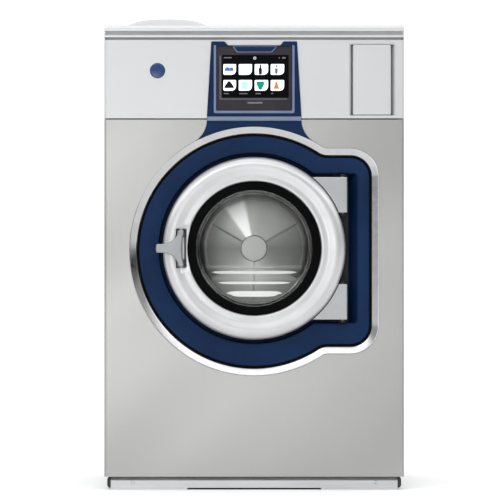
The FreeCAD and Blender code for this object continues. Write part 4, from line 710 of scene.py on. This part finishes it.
# the tab's rim takes the same lighter edge colour as the bead, a painted highlight along its edge
finishPiece("displayTab", plateMesh([roundedShape(tab, [1, 6, 6, 1])], -2.9, -1.6, 0.4), "bead_blue", "cabinet")
finishPiece("displayTabFace", plateMesh([roundedShape(tabInner, [1, 5, 5, 1])], -3.2, -2.6, 0.2), "navy_plastic",
            "cabinet")
stripe = [(-83.6, 1042), (-83.6, 935.8), (79, 935.8), (79, 939.8), (-79.4, 939.8), (-79.4, 1042)]
finishPiece("screenCorner", plateMesh([roundedShape(stripe, [1, 3, 1, 1, 2, 1])], -2.1, -1.6, 0.2), "stripe_plastic",
            "cabinet")
finishPiece("sensorSlot", plateMesh([roundedRect(-18, 22, 931, 934.8, 1.7)], -2.5, -1.6, 0.2), "dark_plastic",
            "cabinet")
finishPiece("sensorLip", plateMesh([roundedRect(-16, 20, 927.4, 929.6, 1)], -2.3, -1.6, 0.3), "grey_plastic",
            "cabinet")

# eight programme tiles with plain pictures of what is washed, all on the screen
screen = {"left": (-73.6, -36.8, 1.4, 39.8), "low": (996.0, 957.8), "width": (30, 31.5, 32, 32), "height": 25.5}
fronts = (display["screenFront"] - 0.25, display["screenFront"] - 0.05)
pictureFronts = (display["screenFront"] - 0.4, display["screenFront"] - 0.2)
pictures = {
    (0, 0): ("lit_blue", [[(-8, -3), (-8, 1), (-5, 4), (-1, 4), (1, 2), (4, 4), (7, 3), (8, -1), (8, -3)]]),
    (1, 0): ("lit_grey", [[(-7, 2), (7, 2), (7, 3.6), (-7, 3.6)], [(-7, -3.2), (7, -3.2), (7, -1.6), (-7, -1.6)]]),
    (2, 0): ("lit_black", [[(-2.6, -9), (2.6, -9), (3, 0), (1.4, 4), (1.4, 8.5), (-1.4, 8.5), (-1.4, 4), (-3, 0)]]),
    (3, 0): ("lit_dim", [[(-2.2, -8), (2.2, -8), (2.8, 2), (-2.8, 2)], [(-1.6, 4), (1.6, 4), (1.6, 7.5), (-1.6, 7.5)]]),
    (0, 1): ("lit_black", [[(-9, -5), (9, -5), (7.5, -1), (2, 7), (-2, 7), (-7.5, -1)]]),
    (1, 1): ("lit_sky", [[(-5, -7), (5, -7), (5, 1), (8, 0), (6.5, 5), (2.5, 7), (-2.5, 7), (-6.5, 5), (-8, 0),
                          (-5, 1)]]),
    (2, 1): ("lit_teal", [[(-2, -8), (2, -8), (6.5, 1), (7, 6.5), (-7, 6.5), (-6.5, 1)]]),
    (3, 1): ("lit_amber", [[(-5.5, -6.5), (5.5, -6.5), (3, 0), (1.4, 7), (-1.4, 7), (-3, 0)]]),
}
tiles, byInk = [], {}
for row, low in enumerate(screen["low"]):
    for column, left in enumerate(screen["left"]):
        right, high = left + screen["width"][column], low + screen["height"]
        tiles.append(plateMesh([roundedShape([(left, low), (right, low), (right, high), (left, high)],
                                             [3, 17, 2.5, 2.5], 8)], *fronts))
        ink, shapes = pictures[column, row]
        middleX, middleZ = left + 13.5, low + 13
        for shape in shapes:
            points = [(middleX + 1.35 * x, middleZ + 1.35 * z) for x, z in shape]
            byInk.setdefault(ink, []).append(plateMesh([roundedShape(points, [0.8] * len(points), 3)], *pictureFronts))
captions = [(-73, -61, 949.5, 952), (-36, -16, 949.5, 952), (3, 16, 949.5, 952), (40.5, 46, 950, 952.4),
            (-73, -54, 1035.6, 1038.2), (59, 61.5, 1035, 1038), (67, 75.5, 1034.6, 1038.4)]
byInk.setdefault("lit_dim", []).extend(plateMesh([roundedRect(*place, 0.8, 2)], *fronts) for place in captions)
byInk.setdefault("lit_grey", []).append(plateMesh([arcPoints(1.5, 1036, 3.6, 0, 345, 23),
                                                   arcPoints(1.5, 1036, 1.6, 0, 345, 23)], *fronts))
finishPiece("programmeTiles", joined(*tiles), "lit_white", "cabinet")
for ink, shapes in byInk.items():
    finishPiece("pictures" + camel(ink)[3:], joined(*shapes), ink, "cabinet")
print("display made")


# ---- door ring, with a soft pocket round the handle's pin ----

ring = {"inner": 160.3, "width": 58.7, "skin": 2.5, "knuckleFloor": -12.3,
        "middleFloor": -17.0, "middleHalf": 28.0, "pocketLeft": -184.9, "pocketRight": -167.4, "pocketHalfZ": 44.6,
        "slopeLeft": 1.8, "slopeRight": 5.5, "slopeZ": 2.2, "lipDepth": -25.6}
crown = [(0.0, -26.0), (1.1, -29.0), (3.2, -30.9), (8.0, -31.2), (14.0, -30.8), (19.5, -31.0), (27.0, -32.4),
         (34.0, -33.5), (41.0, -33.4), (47.5, -31.6), (53.0, -27.6), (56.8, -22.4), (ring["width"], -16.5)]
under = [(2.5, -24.4), (4.7, -27.4), (9.4, -28.0), (17.2, -28.7), (26.2, -30.1), (34.0, -31.1), (42.4, -30.5),
         (48.9, -27.7), (53.9, -22.2), (ring["width"] - ring["skin"], -16.3)]
outerSkin = [(ring["inner"] + r, d) for r, d in softCurve(crown, 5)]
innerSkin = [(ring["inner"] + r, d) for r, d in reversed(softCurve(under, 5))]
ringSection = outerSkin + [(219.0, -10), (219.0, 3.0), (218.4, 3.9), (216.8, 4.0)] + innerSkin
ringSection += [(162.8, -4.0), (160.6, -4.0), (160.3, -4.4), (160.3, -14.0)]
fine = [180 + 0.4 * k for k in range(-60, 61)]
coarse = [fine[-1] + (360 - 48) * k / 190 for k in range(1, 190)]


def eased(share):
    share = min(max(share, 0.0), 1.0)
    return share * share * (3 - 2 * share)


def pocketDepth(x, dz, depth, behind):
    # the crown sinks round the handle's pin, deeper at its two knuckles; behind moves the floor back for the inner skin
    if x > -120 or abs(dz) > 70:
        return depth
    rise = min(max((abs(dz) - ring["middleHalf"]) / 2.5, 0), 1)
    floor = ring["middleFloor"] + (ring["knuckleFloor"] - ring["middleFloor"]) * rise + behind * (1 - 0.92 * rise)
    beyondX = max((ring["pocketLeft"] - x) / ring["slopeLeft"], (x - ring["pocketRight"]) / ring["slopeRight"], 0)
    beyondZ = max(abs(dz) - ring["pocketHalfZ"], 0) / ring["slopeZ"]
    away = eased(math.hypot(beyondX, beyondZ))
    lip = eased((x + 180) / 9) * (1 - eased((abs(dz) - 38) / 24))
    depth += max(ring["lipDepth"] + behind - depth, 0) * lip
    return depth + (floor - depth) * (1 - away) if depth < floor else depth


rings = []
for k, (radius, depth) in enumerate(ringSection):
    loop = []
    for angle in fine + coarse:
        x, dz = radius * math.cos(math.radians(angle)), radius * math.sin(math.radians(angle))
        soft = depth
        if k < len(outerSkin):
            soft = pocketDepth(x, dz, depth, 0.0)
        elif radius < 216.6 and depth < -5:
            soft = pocketDepth(x, dz, depth, 1.8)
        loop.append(at(x, soft, axisZ + dz))
    rings.append(loop)
finishPiece("doorRing", ringMesh(rings), "ring_silver", "door", "door_ring", smooth=48)
print("door ring made")


# ---- rubber ring and glass bowl ----

seal = [(139.0, -19.0), (139.5, -20.8), (141.0, -22.0), (143.5, -22.5), (156.0, -22.5), (158.6, -22.0), (159.9, -20.4),
        (160.2, -18.5), (160.2, 3.4), (159.7, 3.9), (143.5, 3.9), (142.0, 3.0), (140.3, 1.2), (140.0, -4.0),
        (156.0, -4.0), (156.0, -10.0), (139.0, -10.0)]
finishPiece("glassSeal", turnedMesh(seal, 160), "seal_rubber", "door", "glass_seal")

bowl = {"radius": 139, "depth": 82, "thick": 5, "slopeDrop": 46, "slopeDepth": 24, "blend": 5}
bowlSlope = (bowl["depth"] - bowl["slopeDepth"]) / (bowl["radius"] - bowl["slopeDrop"])


def softLower(a, b, blend):
    share = max(blend - abs(a - b), 0.0) / blend
    return min(a, b) - share * share * blend / 4


def slopeDepth(dz, wall):
    # the bowl's lower side, sloped for the washing to slide down
    return bowl["depth"] - wall * math.hypot(1, bowlSlope) - bowlSlope * (-dz - bowl["slopeDrop"])


def bowlLine(points, wall):
    loops = []
    for radius, depth in points:
        loop = []
        for c, s in around(192):
            soft = softLower(depth, slopeDepth(radius * s, wall), bowl["blend"]) if depth > 0 else depth
            loop.append(at(radius * c, soft, axisZ + radius * s))
        loops.append(loop)
    return loops


outside = [(155.8, -9.8), (155.8, -4.2), (140.5, -4.2), (138.2, -2.8), (137.7, 0), (136.6, 20), (135.4, 40),
           (134.2, 60), (133.4, 70), (132.2, 75.5), (129.4, 79.8), (125.4, 81.7), (120, 82)]
outside += [(120 - 3 * k, 82) for k in range(1, 40)] + [(0.6, 82)]
inside = [(152, -9.8), (134.9, -9.8), (133.4, -8.8), (132.7, -6), (131.6, 20), (130.4, 40), (129.2, 60), (128.5, 66),
          (127.4, 71), (124.8, 74.8), (121.2, 76.7), (117, 77)]
inside += [(117 - 3 * k, 77) for k in range(1, 39)] + [(0.6, 77)]
shell = capped(ringMesh(list(reversed(bowlLine(outside, 0.0))) + bowlLine(inside, bowl["thick"]), False))
finishPiece("doorGlass", shell, "glass", "door", "door_glass", smooth=60)

bars = []
ribs = ((54.0, 62.0, 104, 101, 0.9), (80.0, 86.5, 88, 85, 0.8), (103.0, 116.5, 68, 57, 0.8), (45.2, 47.2, 52, 52, 0.6))
for high, low, halfHigh, halfLow, lift in ribs:   # drops below the axis, half lengths, height
    rings = []
    for k in range(-10, 11):   # a rounded bar pressed into the slope, running across
        share, taper = k / 10, math.sqrt(max(1 - abs(k / 10) ** 6, 0.02))
        loop = []
        for s in range(12):
            across = (1 - math.cos(math.tau * s / 12)) / 2
            drop = high + (low - high) * (0.5 + (across - 0.5) * taper)
            x = share * (halfHigh + (halfLow - halfHigh) * across)
            swell = lift * taper * math.sin(math.tau * s / 12)
            loop.append(at(x, slopeDepth(-drop, bowl["thick"]) - 0.1 - swell, axisZ - drop))
        rings.append(loop)
    bars.append(capped(ringMesh(rings, False)))
finishPiece("glassRibs", joined(*bars), "frosted_glass", "door")
print("glass made")


# ---- hinge arms, drawer front, badge ----

arms = {"right": 223.0, "reach": 219.7, "low": 85.4, "high": 171.0, "webLow": 91.5, "webHigh": 164.8,
        "front": -19.5, "back": 1.5, "edge": 3.0}
webLow, webHigh = arms["webLow"], arms["webHigh"]
reachLow = math.sqrt(arms["reach"] ** 2 - arms["low"] ** 2)
reachHigh = math.sqrt(arms["reach"] ** 2 - arms["high"] ** 2)
angleLow = math.degrees(math.atan2(arms["low"], reachLow))
angleHigh = math.degrees(math.atan2(arms["high"], reachHigh))
armShapes = []
for side in (-1, 1):
    outline = [(arms["right"] - 2, arms["low"]), (arms["right"], arms["low"] + 2), (arms["right"], arms["high"] - 2),
               (arms["right"] - 2, arms["high"])] + arcPoints(0, 0, arms["reach"], angleHigh, angleLow, 16)
    if side < 0:
        outline = [(x, -z) for x, z in reversed(outline)]
    web = [(x, side * z) for x, z in ((220.0, webLow), (220.0, webHigh), (146.0, webHigh), (200.2, webLow))]
    armShapes.append(plateMesh([[(x, axisZ + z) for x, z in outline]], arms["front"], arms["back"], arms["edge"], 3))
    armShapes.append(plateMesh([[(x, axisZ + z) for x, z in web]], arms["back"] - 0.5, 10.2, 0.6))
for side in (-1, 1):
    z0, z1 = sorted((axisZ + side * webLow, axisZ + side * webHigh))
    armShapes.append(blockMesh(168, 220, 7.3, 10.2, z0, z1, 0.8))
finishPiece("hingeArms", joined(*armShapes), "arm_silver", "door", "hinge_arms")

drawer = {"left": 237.8, "right": 327.6, "low": 900.0, "high": 1068.0, "thick": 12.0, "edge": 2.4}
face = roundedRect(drawer["left"], drawer["right"], drawer["low"], drawer["high"], 3)
flange = roundedRect(drawer["left"] - 1.2, drawer["right"] + 1.2, drawer["low"] - 0.4, drawer["high"] + 0.4, 3.4)
finishPiece("drawerFront", joined(plateMesh([face], 0.0, drawer["thick"], drawer["edge"], 4),
                                  plateMesh([flange], 3.2, 8.0, 0.5)), "panel_silver", "drawer",
            "drawer_front")

badge = {"x": -232.0, "z": 1006.0, "radius": 18.5}
disc = [(0.01, -2.0), (badge["radius"] - 5, -1.95), (badge["radius"] - 1.2, -1.5), (badge["radius"], -0.6),
        (badge["radius"], 0.3), (0.01, 0.3)]
finishPiece("frontBadge", turnedMesh(disc, 72, badge["x"], badge["z"], False), "badge_blue", "cabinet",
            weld=0.05)
print("small front pieces made")


# ---- drum ----

drum = {"radius": 260.0, "sheet": 1.5, "start": 99.0, "columns": 104, "rows": 19, "pitch": 15.6, "hole": 2.5,
        "mouth": 166.0}
tileWidth = math.tau * (drum["radius"] - drum["sheet"]) / drum["columns"]
bm = bmesh.new()
halfX, halfY = tileWidth * mm / 2, drum["pitch"] * mm / 2
border = [(halfX, 0), (halfX, halfY), (0, halfY), (-halfX, halfY), (-halfX, 0), (-halfX, -halfY), (0, -halfY),
          (halfX, -halfY)]
hole = [(drum["hole"] * mm * c, drum["hole"] * mm * s) for c, s in around(8)]
faces = [[[bm.verts.new((x, y, z)) for x, y in outline] for outline in (border, hole)]
         for z in (0, drum["sheet"] * mm)]
for k in range(8):
    n = (k + 1) % 8
    bm.faces.new((faces[1][0][k], faces[1][0][n], faces[1][1][n], faces[1][1][k]))
    bm.faces.new((faces[0][0][k], faces[0][1][k], faces[0][1][n], faces[0][0][n]))
    bm.faces.new((faces[0][1][k], faces[1][1][k], faces[1][1][n], faces[0][1][n]))
tile = shapeObject("drumTile", bm)
places = [((column + row % 2 / 2) * tileWidth * mm, frontY + (drum["start"] + 2 + (row + 0.5) * drum["pitch"]) * mm, 0)
          for column in range(drum["columns"]) for row in range(drum["rows"])]   # staggered rows
wall = grown(perforatedDrum, {"Tile": tile, "Radius": (drum["radius"] - drum["sheet"]) * mm,
                              "Centre": (0, 0, axisZ * mm), "Finish": finishes["drum_steel"]}, places)
mouth = drum["mouth"]
lip = turnedMesh([(mouth + 3.5, 101.5), (mouth + 3.5, 102), (mouth, 102), (mouth, 97), (mouth + 1, 95.8),
                  (mouth + 2.6, 95.6), (mouth + 4, 96.6), (mouth + 6, 97.3), (256.5, 97.3), (258.8, 98.2), (260, 100.5),
                  (260, 101.6), (258.5, 101.6), (258.2, 99.9), (256, 98.8), (mouth + 5, 98.8)], 160)
tail = turnedMesh([(260, 397.0), (260, 403), (258.5, 403), (258.5, 397.0)], 160)
finishPiece("drumShell", joined(wall, lip, tail), "drum_steel", "drum", "drum_shell")

backRim = 257.8
hubSection = [(0.3, 389.0), (30, 389.0), (31.8, 389.3), (32.8, 390.2), (33.0, 392), (33.0, 398.4), (0.3, 398.4)]
finishPiece("drumHub", turnedMesh(hubSection, 120, closeSection=False), "hub_silver", "drum")
backSection = [(0.3, 397.2), (33.5, 397.2), (60, 397.4),
               (120, 398), (180, 398.4), (228, 398.8), (236, 399.0), (backRim, 400.0), (backRim, 402.4),
               (0.3, 402.4)]
ridges = []
for angle in (30, 150, 270):
    ridge = blockMesh(30, 228, 393.8, 399.5, -2.0, 2.0, 1.3, 3)
    turn = Matrix.Translation((0, 0, axisZ * mm)) @ Matrix.Rotation(-math.radians(angle), 4, "Y")
    bmesh.ops.transform(ridge, matrix=turn, verts=ridge.verts)
    ridges.append(ridge)
finishPiece("drumBack", joined(turnedMesh(backSection, 180, closeSection=False), *ridges), "drum_disc", "drum",
            "drum_back")
print("drum made")


# ---- soft pieces: door gasket, hoses, springs ----

def cornersCut(points, rounds):
    # softens a closed outline by cutting its corners again and again
    for _ in range(rounds):
        points = [tuple(a * share + b * (1 - share) for a, b in zip(points[k - 1], points[k]))
                  for k in range(len(points)) for share in (0.75, 0.25)]
    return points


lip, plateBack, throat, neck, tubFront = 7.6, 43.0, 171.7, 167.7, 90.0
bulge = 180.5
fold = [(152.3, lip), (throat + 4, lip), (throat + 4, lip + 4), (throat, lip + 6), (throat, plateBack + 0.3),
        (bulge - 2, plateBack + 0.3), (bulge - 2, plateBack + 4), (bulge, plateBack + 12), (throat + 4, plateBack + 24),
        (neck + 4, tubFront - 19), (neck + 4, tubFront - 2), (neck, tubFront - 2), (neck, tubFront - 20.5),
        (throat, plateBack + 22), (bulge - 4, plateBack + 12), (bulge - 6, plateBack + 6), (throat - 4, plateBack + 4),
        (throat - 4, lip + 6), (152.3, lip + 3)]
finishPiece("doorGasket", turnedMesh(cornersCut(fold, 2), 144), "seal_rubber", "cabinet", "door_gasket",
            blendTo=("tub", (0, frontY + 47 * mm, axisZ * mm), (0, frontY + 68 * mm, axisZ * mm)))


def uprightMesh(profile, x, depth, segments=64):
    # turns (radius, z) points about an upright axis
    return ringMesh([[at(x + r * c, depth + r * s, z) for c, s in around(segments)] for r, z in profile])


def bellows(inside, outside, low, high, pitch):
    # a hose wall with rounded folds and plain cuffs
    folds = max(int((high - low - 28) / pitch), 1)
    start = (low + high - folds * pitch) / 2
    line = [(outside, low), (outside, start)]
    for k in range(folds * 6 + 1):
        dip = (1 - math.cos(math.tau * k / 6)) / 2
        line.append((outside - dip * (outside - inside - 1.2), start + pitch * k / 6))
    return line + [(outside, high), (inside, high), (inside, low)]


tubRadius, fillX = 286.5, 246.7
tubTop = axisZ + math.sqrt(tubRadius ** 2 - fillX ** 2)
tubLow = axisZ - math.sqrt(tubRadius ** 2 - 78.0 ** 2)
hoses = {"fillHose": (fillX, 250.0, 24.8, 27.6, tubTop + 42, 894.4, "tub", "cabinet"),
         "drainHose": (120.0, 300.0, 38.8, 41.9, 174.0, tubLow - 2.1, "cabinet", "tub")}
for name, (x, depth, inside, outside, low, high, lowBody, highBody) in hoses.items():
    finishPiece(name, uprightMesh(bellows(inside, outside, low, high, 9.5), x, depth), "hose_rubber", lowBody,
                "tub_hoses",
                blendTo=(highBody, at(x, depth, low + 14), at(x, depth, high - 14)))

spring = {"x": 250.0, "depths": (132.0, 392.0), "radius": 26.0, "wire": 4.5, "turns": 6, "low": 35.8, "high": 181.2}
coils = []
for x in (-spring["x"], spring["x"]):
    for depth in spring["depths"]:
        rings = []
        for k in range(spring["turns"] * 28 + 1):
            turn = math.tau * k / 28
            z = spring["low"] + (spring["high"] - spring["low"]) * k / (spring["turns"] * 28)
            rings.append([at(x + (spring["radius"] + spring["wire"] * c) * math.cos(turn),
                             depth + (spring["radius"] + spring["wire"] * c) * math.sin(turn),
                             z + spring["wire"] * s) for c, s in around(12)])
        coils.append(capped(ringMesh(rings, False)))
finishPiece("tubSprings", joined(*coils), "spring_steel", "cabinet", "springs",
            blendTo=("tub", (0, 0, 42 * mm), (0, 0, 176 * mm)))
print("soft pieces made")


# ---- screws, louvres and threads ----

rear = {"depth": 603.0, "split": axisZ + 10, "edgeX": 344.0, "thirdX": 120.0}
screwHead = spunShape([(0.05, -1.1), (1.9, -1.2), (2.0, -2.45), (3.2, -2.55), (4.3, -1.9), (4.8, -0.9), (4.8, 0.0),
                       (2.5, 0.0), (2.5, 8.6), (0.05, 9.0)])
panelScrew = shapeObject("panelScrew", screwHead)
places = [(x, 8.0 - 0.02, 17.0, 0.0) for x in (-292.0, 292.0)]
for x in (-rear["edgeX"], -rear["thirdX"], rear["thirdX"], rear["edgeX"]):
    heights = [rear["split"] - 14, rear["split"] + 14, 1065.5] + ([51.0] if abs(x) == rear["edgeX"] else [])
    places += [(x, rear["depth"] + 0.02, z, math.pi) for z in heights]
points = [at(x, depth, z) for x, depth, z, turn in places]
screws = grown(setOnPoints, {"Shape": panelScrew, "Spin": math.tau, "Seed": 7, "Finish": finishes["screw_steel"]},
               points, [turn for *_, turn in places])
finishPiece("cabinetScrews", screws, "screw_steel", "cabinet", "cabinet_screws")

screwCircle = 200.0   # radius of the door screws' circle
doorPoints = [at(screwCircle * math.cos(math.radians(a)), 7.0, axisZ + screwCircle * math.sin(math.radians(a)))
              for a in (75, 105, 132, 158, 202, 228, 255, 285)]
doorScrew = shapeObject("doorScrew", spunShape([(0.05, -1.1), (1.8, -1.2), (1.9, -2.3), (3.0, -2.4), (4.1, -1.8),
                                                (4.5, -0.8), (4.5, 0.0), (0.05, 0.0)]))
screws = grown(setOnPoints, {"Shape": doorScrew, "Spin": math.tau, "Seed": 3, "Finish": finishes["screw_steel"]},
               doorPoints, [math.pi] * 8)
finishPiece("doorScrews", screws, "screw_steel", "door", "door_screws")

vents = {"rows": 8, "pitch": 16.0, "top": 460.0, "columns": (-155.0, 0.0, 155.0)}
hoodLine = [(0.4, 0.0), (1.6, 2.4), (2.2, 5.2), (1.4, 5.5), (0.8, 3.0), (-0.3, 0.5)]
hood = bmesh.new()
stations = [(-62, 0.0), (-61, 0.45), (-58.5, 0.8), (-55, 1.0), (55, 1.0), (58.5, 0.8), (61, 0.45), (62, 0.0)]
loops = [[hood.verts.new((x * mm, 1e-5 - max(reach * grow, 0) * mm, (6.6 + drop - 6.0 * reach * grow / 5.5) * mm))
          for drop, reach in hoodLine] for x, grow in stations]
for first, second in zip(loops, loops[1:]):
    for k in range(len(hoodLine)):
        n = (k + 1) % len(hoodLine)
        hood.faces.new((first[k], second[k], second[n], first[n]))
louvre = shapeObject("louvre", hood)
points = [at(x, rear["depth"], vents["top"] - vents["pitch"] * row) for x in vents["columns"]
          for row in range(vents["rows"])]
louvres = grown(setOnPoints, {"Shape": louvre, "Spin": 0.0, "Seed": 1, "Finish": finishes[slotOf["rear_panels"]]},
                points, [math.pi] * len(points))
finishPiece("rearLouvres", louvres, slotOf["rear_panels"], "cabinet")

teeth = [(11.5, -20.5)]
for k in range(9):
    teeth += [(13.25, -20.0 + 1.9 * k), (14.0, -19.3 + 1.9 * k), (14.0, -18.9 + 1.9 * k)]
teeth += [(13.25, -2.4), (11.5, -2.2)]
thread = shapeObject("valveThread", spunShape(teeth, 24))
threads = grown(setOnPoints, {"Shape": thread, "Spin": 0.0, "Seed": 1, "Finish": finishes["white_plastic"]},
                [at(x, rear["depth"], 1020.0) for x in (244.7, 282.7, 320.7)], [math.pi] * 3)
finishPiece("valveThreads", threads, "white_plastic", "cabinet")
print("repeats made")


# ---- the other CAD nodes: softened copies, or the node itself with its finish ----

def softened(node, edge):
    # flat faces joined up again, then every sharp edge broken
    bm = nodeCopy(node)
    bmesh.ops.dissolve_limit(bm, angle_limit=math.radians(1), verts=bm.verts, edges=bm.edges)
    sharp = [item for item in bm.edges if item.is_manifold and item.calc_face_angle() > math.radians(40)]
    bmesh.ops.bevel(bm, geom=sharp, offset=edge * mm, segments=2, affect="EDGES", profile=0.5, clamp_overlap=True)
    return bm


softEdges = {"hinge_bracket": 1.0, "latch_hook": 0.6, "drive_belt": 0.5, "drawer_frame": 0.6, "handle_bracket": 0.6,
             "door_back_ring": 0.6}
ownFinish = {"drawer_frame": "panel_silver", "handle_bracket": "ring_silver", "door_back_ring": "base_steel"}
finishPiece("doorHandle", nodeCopy("door_handle"), "handle_silver", "handle", "door_handle", smooth=30)
plain = ["front_panel", "control_panel", "base_frame", "side_panel_left", "side_panel_right", "rear_panels",
         "display_housing", "detergent_box", "drawer_tray", "control_box", "motor_drive", "door_lock", "inner_frame"]
for node, shown in frame["nodes"].items():
    if shown.hide_render:
        continue
    finish = ownFinish.get(node, slotOf[node])
    if node in softEdges:
        finishPiece(camel(node), softened(node, softEdges[node]), finish, bodyOf[node], node)
    elif node not in plain:
        finishPiece(camel(node), nodeCopy(node), finish, bodyOf[node], node, smooth=30)
    else:
        shown.data.materials.clear()
        shown.data.materials.append(finishes[finish])
print("CAD nodes dressed")


# ---- floor, light and camera ----

stand = {"floorReach": 40000, "cameraDistance": 9000, "aimX": -10.0, "aimZ": 575.5, "fieldWidth": 1200}

floorMesh = bpy.data.meshes.new("floor")
reach = stand["floorReach"] * mm
floorMesh.from_pydata([(-reach, -reach, 0), (reach, -reach, 0), (reach, reach, 0), (-reach, reach, 0)], [],
                      [(0, 1, 2, 3)])
floor = bpy.data.objects.new("floor", floorMesh)
scene.collection.objects.link(floor)
floorMaterial, floorTree, floorShader = startMaterial("paleFloor", "#F6F6F6", Roughness=0.8)
workSurface(floorTree, floorShader, roughness=(noiseField(floorTree, 300), 0.75, 0.85))
floorMesh.materials.append(floorMaterial)

studio = {"horizon": 0.72, "ceiling": 1.5, "below": 0.85, "front": 0.7, "behind": 1.15, "darkSide": 0.03}
world = bpy.data.worlds.new("studio")
scene.world = world
world.use_nodes = True
sky = world.node_tree
sky.nodes.clear()
direction = addNode(sky, "ShaderNodeTexCoord")
way = addNode(sky, "ShaderNodeSeparateXYZ", {"Vector": direction.outputs["Generated"]}).outputs
height = addNode(sky, "ShaderNodeMapRange", {"Value": way["Z"], "From Min": -1.0, "From Max": 1.0})
ramp = addNode(sky, "ShaderNodeValToRGB", {"Fac": height.outputs[0]})
levels = [(0.0, studio["below"]), (0.28, 0.9), (0.5, studio["horizon"]), (0.62, 0.8), (0.715, 3.2), (0.785, 3.2),
          (0.87, studio["ceiling"]), (1.0, studio["ceiling"])]   # from straight down to straight up
rampTones(ramp, [(place, (level, level, level, 1)) for place, level in levels])
depthwise = addNode(sky, "ShaderNodeMapRange", {"Value": way["Y"], "From Min": -0.1, "From Max": 0.5})
darkX = addNode(sky, "ShaderNodeMapRange", {"Value": addNode(sky, "ShaderNodeMath", {0: way["X"], 1: 0.5, 2: 0.24},
                                                             operation="COMPARE").outputs[0]})
level = addNode(sky, "ShaderNodeMath", {0: way["Z"]}, operation="ABSOLUTE")
band = addNode(sky, "ShaderNodeMapRange", {"Value": level.outputs[0], "From Min": 0.08, "From Max": 0.16,
                                           "To Min": 1.0, "To Max": 0.0})
dark = addNode(sky, "ShaderNodeMath", {0: darkX.outputs[0], 1: band.outputs[0]}, operation="MULTIPLY")
shade = addNode(sky, "ShaderNodeMapRange", {"Value": dark.outputs[0], "To Min": 1.0, "To Max": studio["darkSide"]})
power = addNode(sky, "ShaderNodeMath", {0: shade.outputs[0], 1: studio["front"]}, operation="MULTIPLY")
frontLight = addNode(sky, "ShaderNodeBackground", {"Color": ramp.outputs[0], "Strength": power.outputs[0]})
backLight = addNode(sky, "ShaderNodeBackground", {"Color": (1, 1, 1, 1), "Strength": studio["behind"]})
glow = addNode(sky, "ShaderNodeMixShader", {0: depthwise.outputs[0], 1: frontLight.outputs[0], 2: backLight.outputs[0]})
addNode(sky, "ShaderNodeOutputWorld", {"Surface": glow.outputs[0]})

lamps = {  # name: (place, target, size, watts)
    "keyBox": ((-640, -3600, 600), (-330, 0, 560), 900, 6.4),
    "topBox": ((0, -600, 3600), (0, 0, 700), 2200, 14),
    "floorBox": ((-1200, -2600, 2600), (0, -1400, 0), 1600, 8),
}
for name, (place, target, size, watts) in lamps.items():
    lampData = bpy.data.lights.new(name, "AREA")
    lampData.shape = "SQUARE"
    lampData.size = size * mm
    lampData.energy = watts
    lamp = bpy.data.objects.new(name, lampData)
    scene.collection.objects.link(lamp)
    lamp.location = Vector(place) * mm
    lamp.rotation_euler = (Vector(target) * mm - lamp.location).to_track_quat("-Z", "Y").to_euler()

cameraData = bpy.data.cameras.new("camera")
cameraData.sensor_width = 36
cameraData.lens = 36 * stand["cameraDistance"] / stand["fieldWidth"]
cameraData.clip_end = 100
camera = bpy.data.objects.new("camera", cameraData)
scene.collection.objects.link(camera)
camera.location = (stand["aimX"] * mm, frontY - stand["cameraDistance"] * mm, stand["aimZ"] * mm)
camera.rotation_euler = (math.radians(90), 0, 0)
scene.camera = camera
print("stage set")
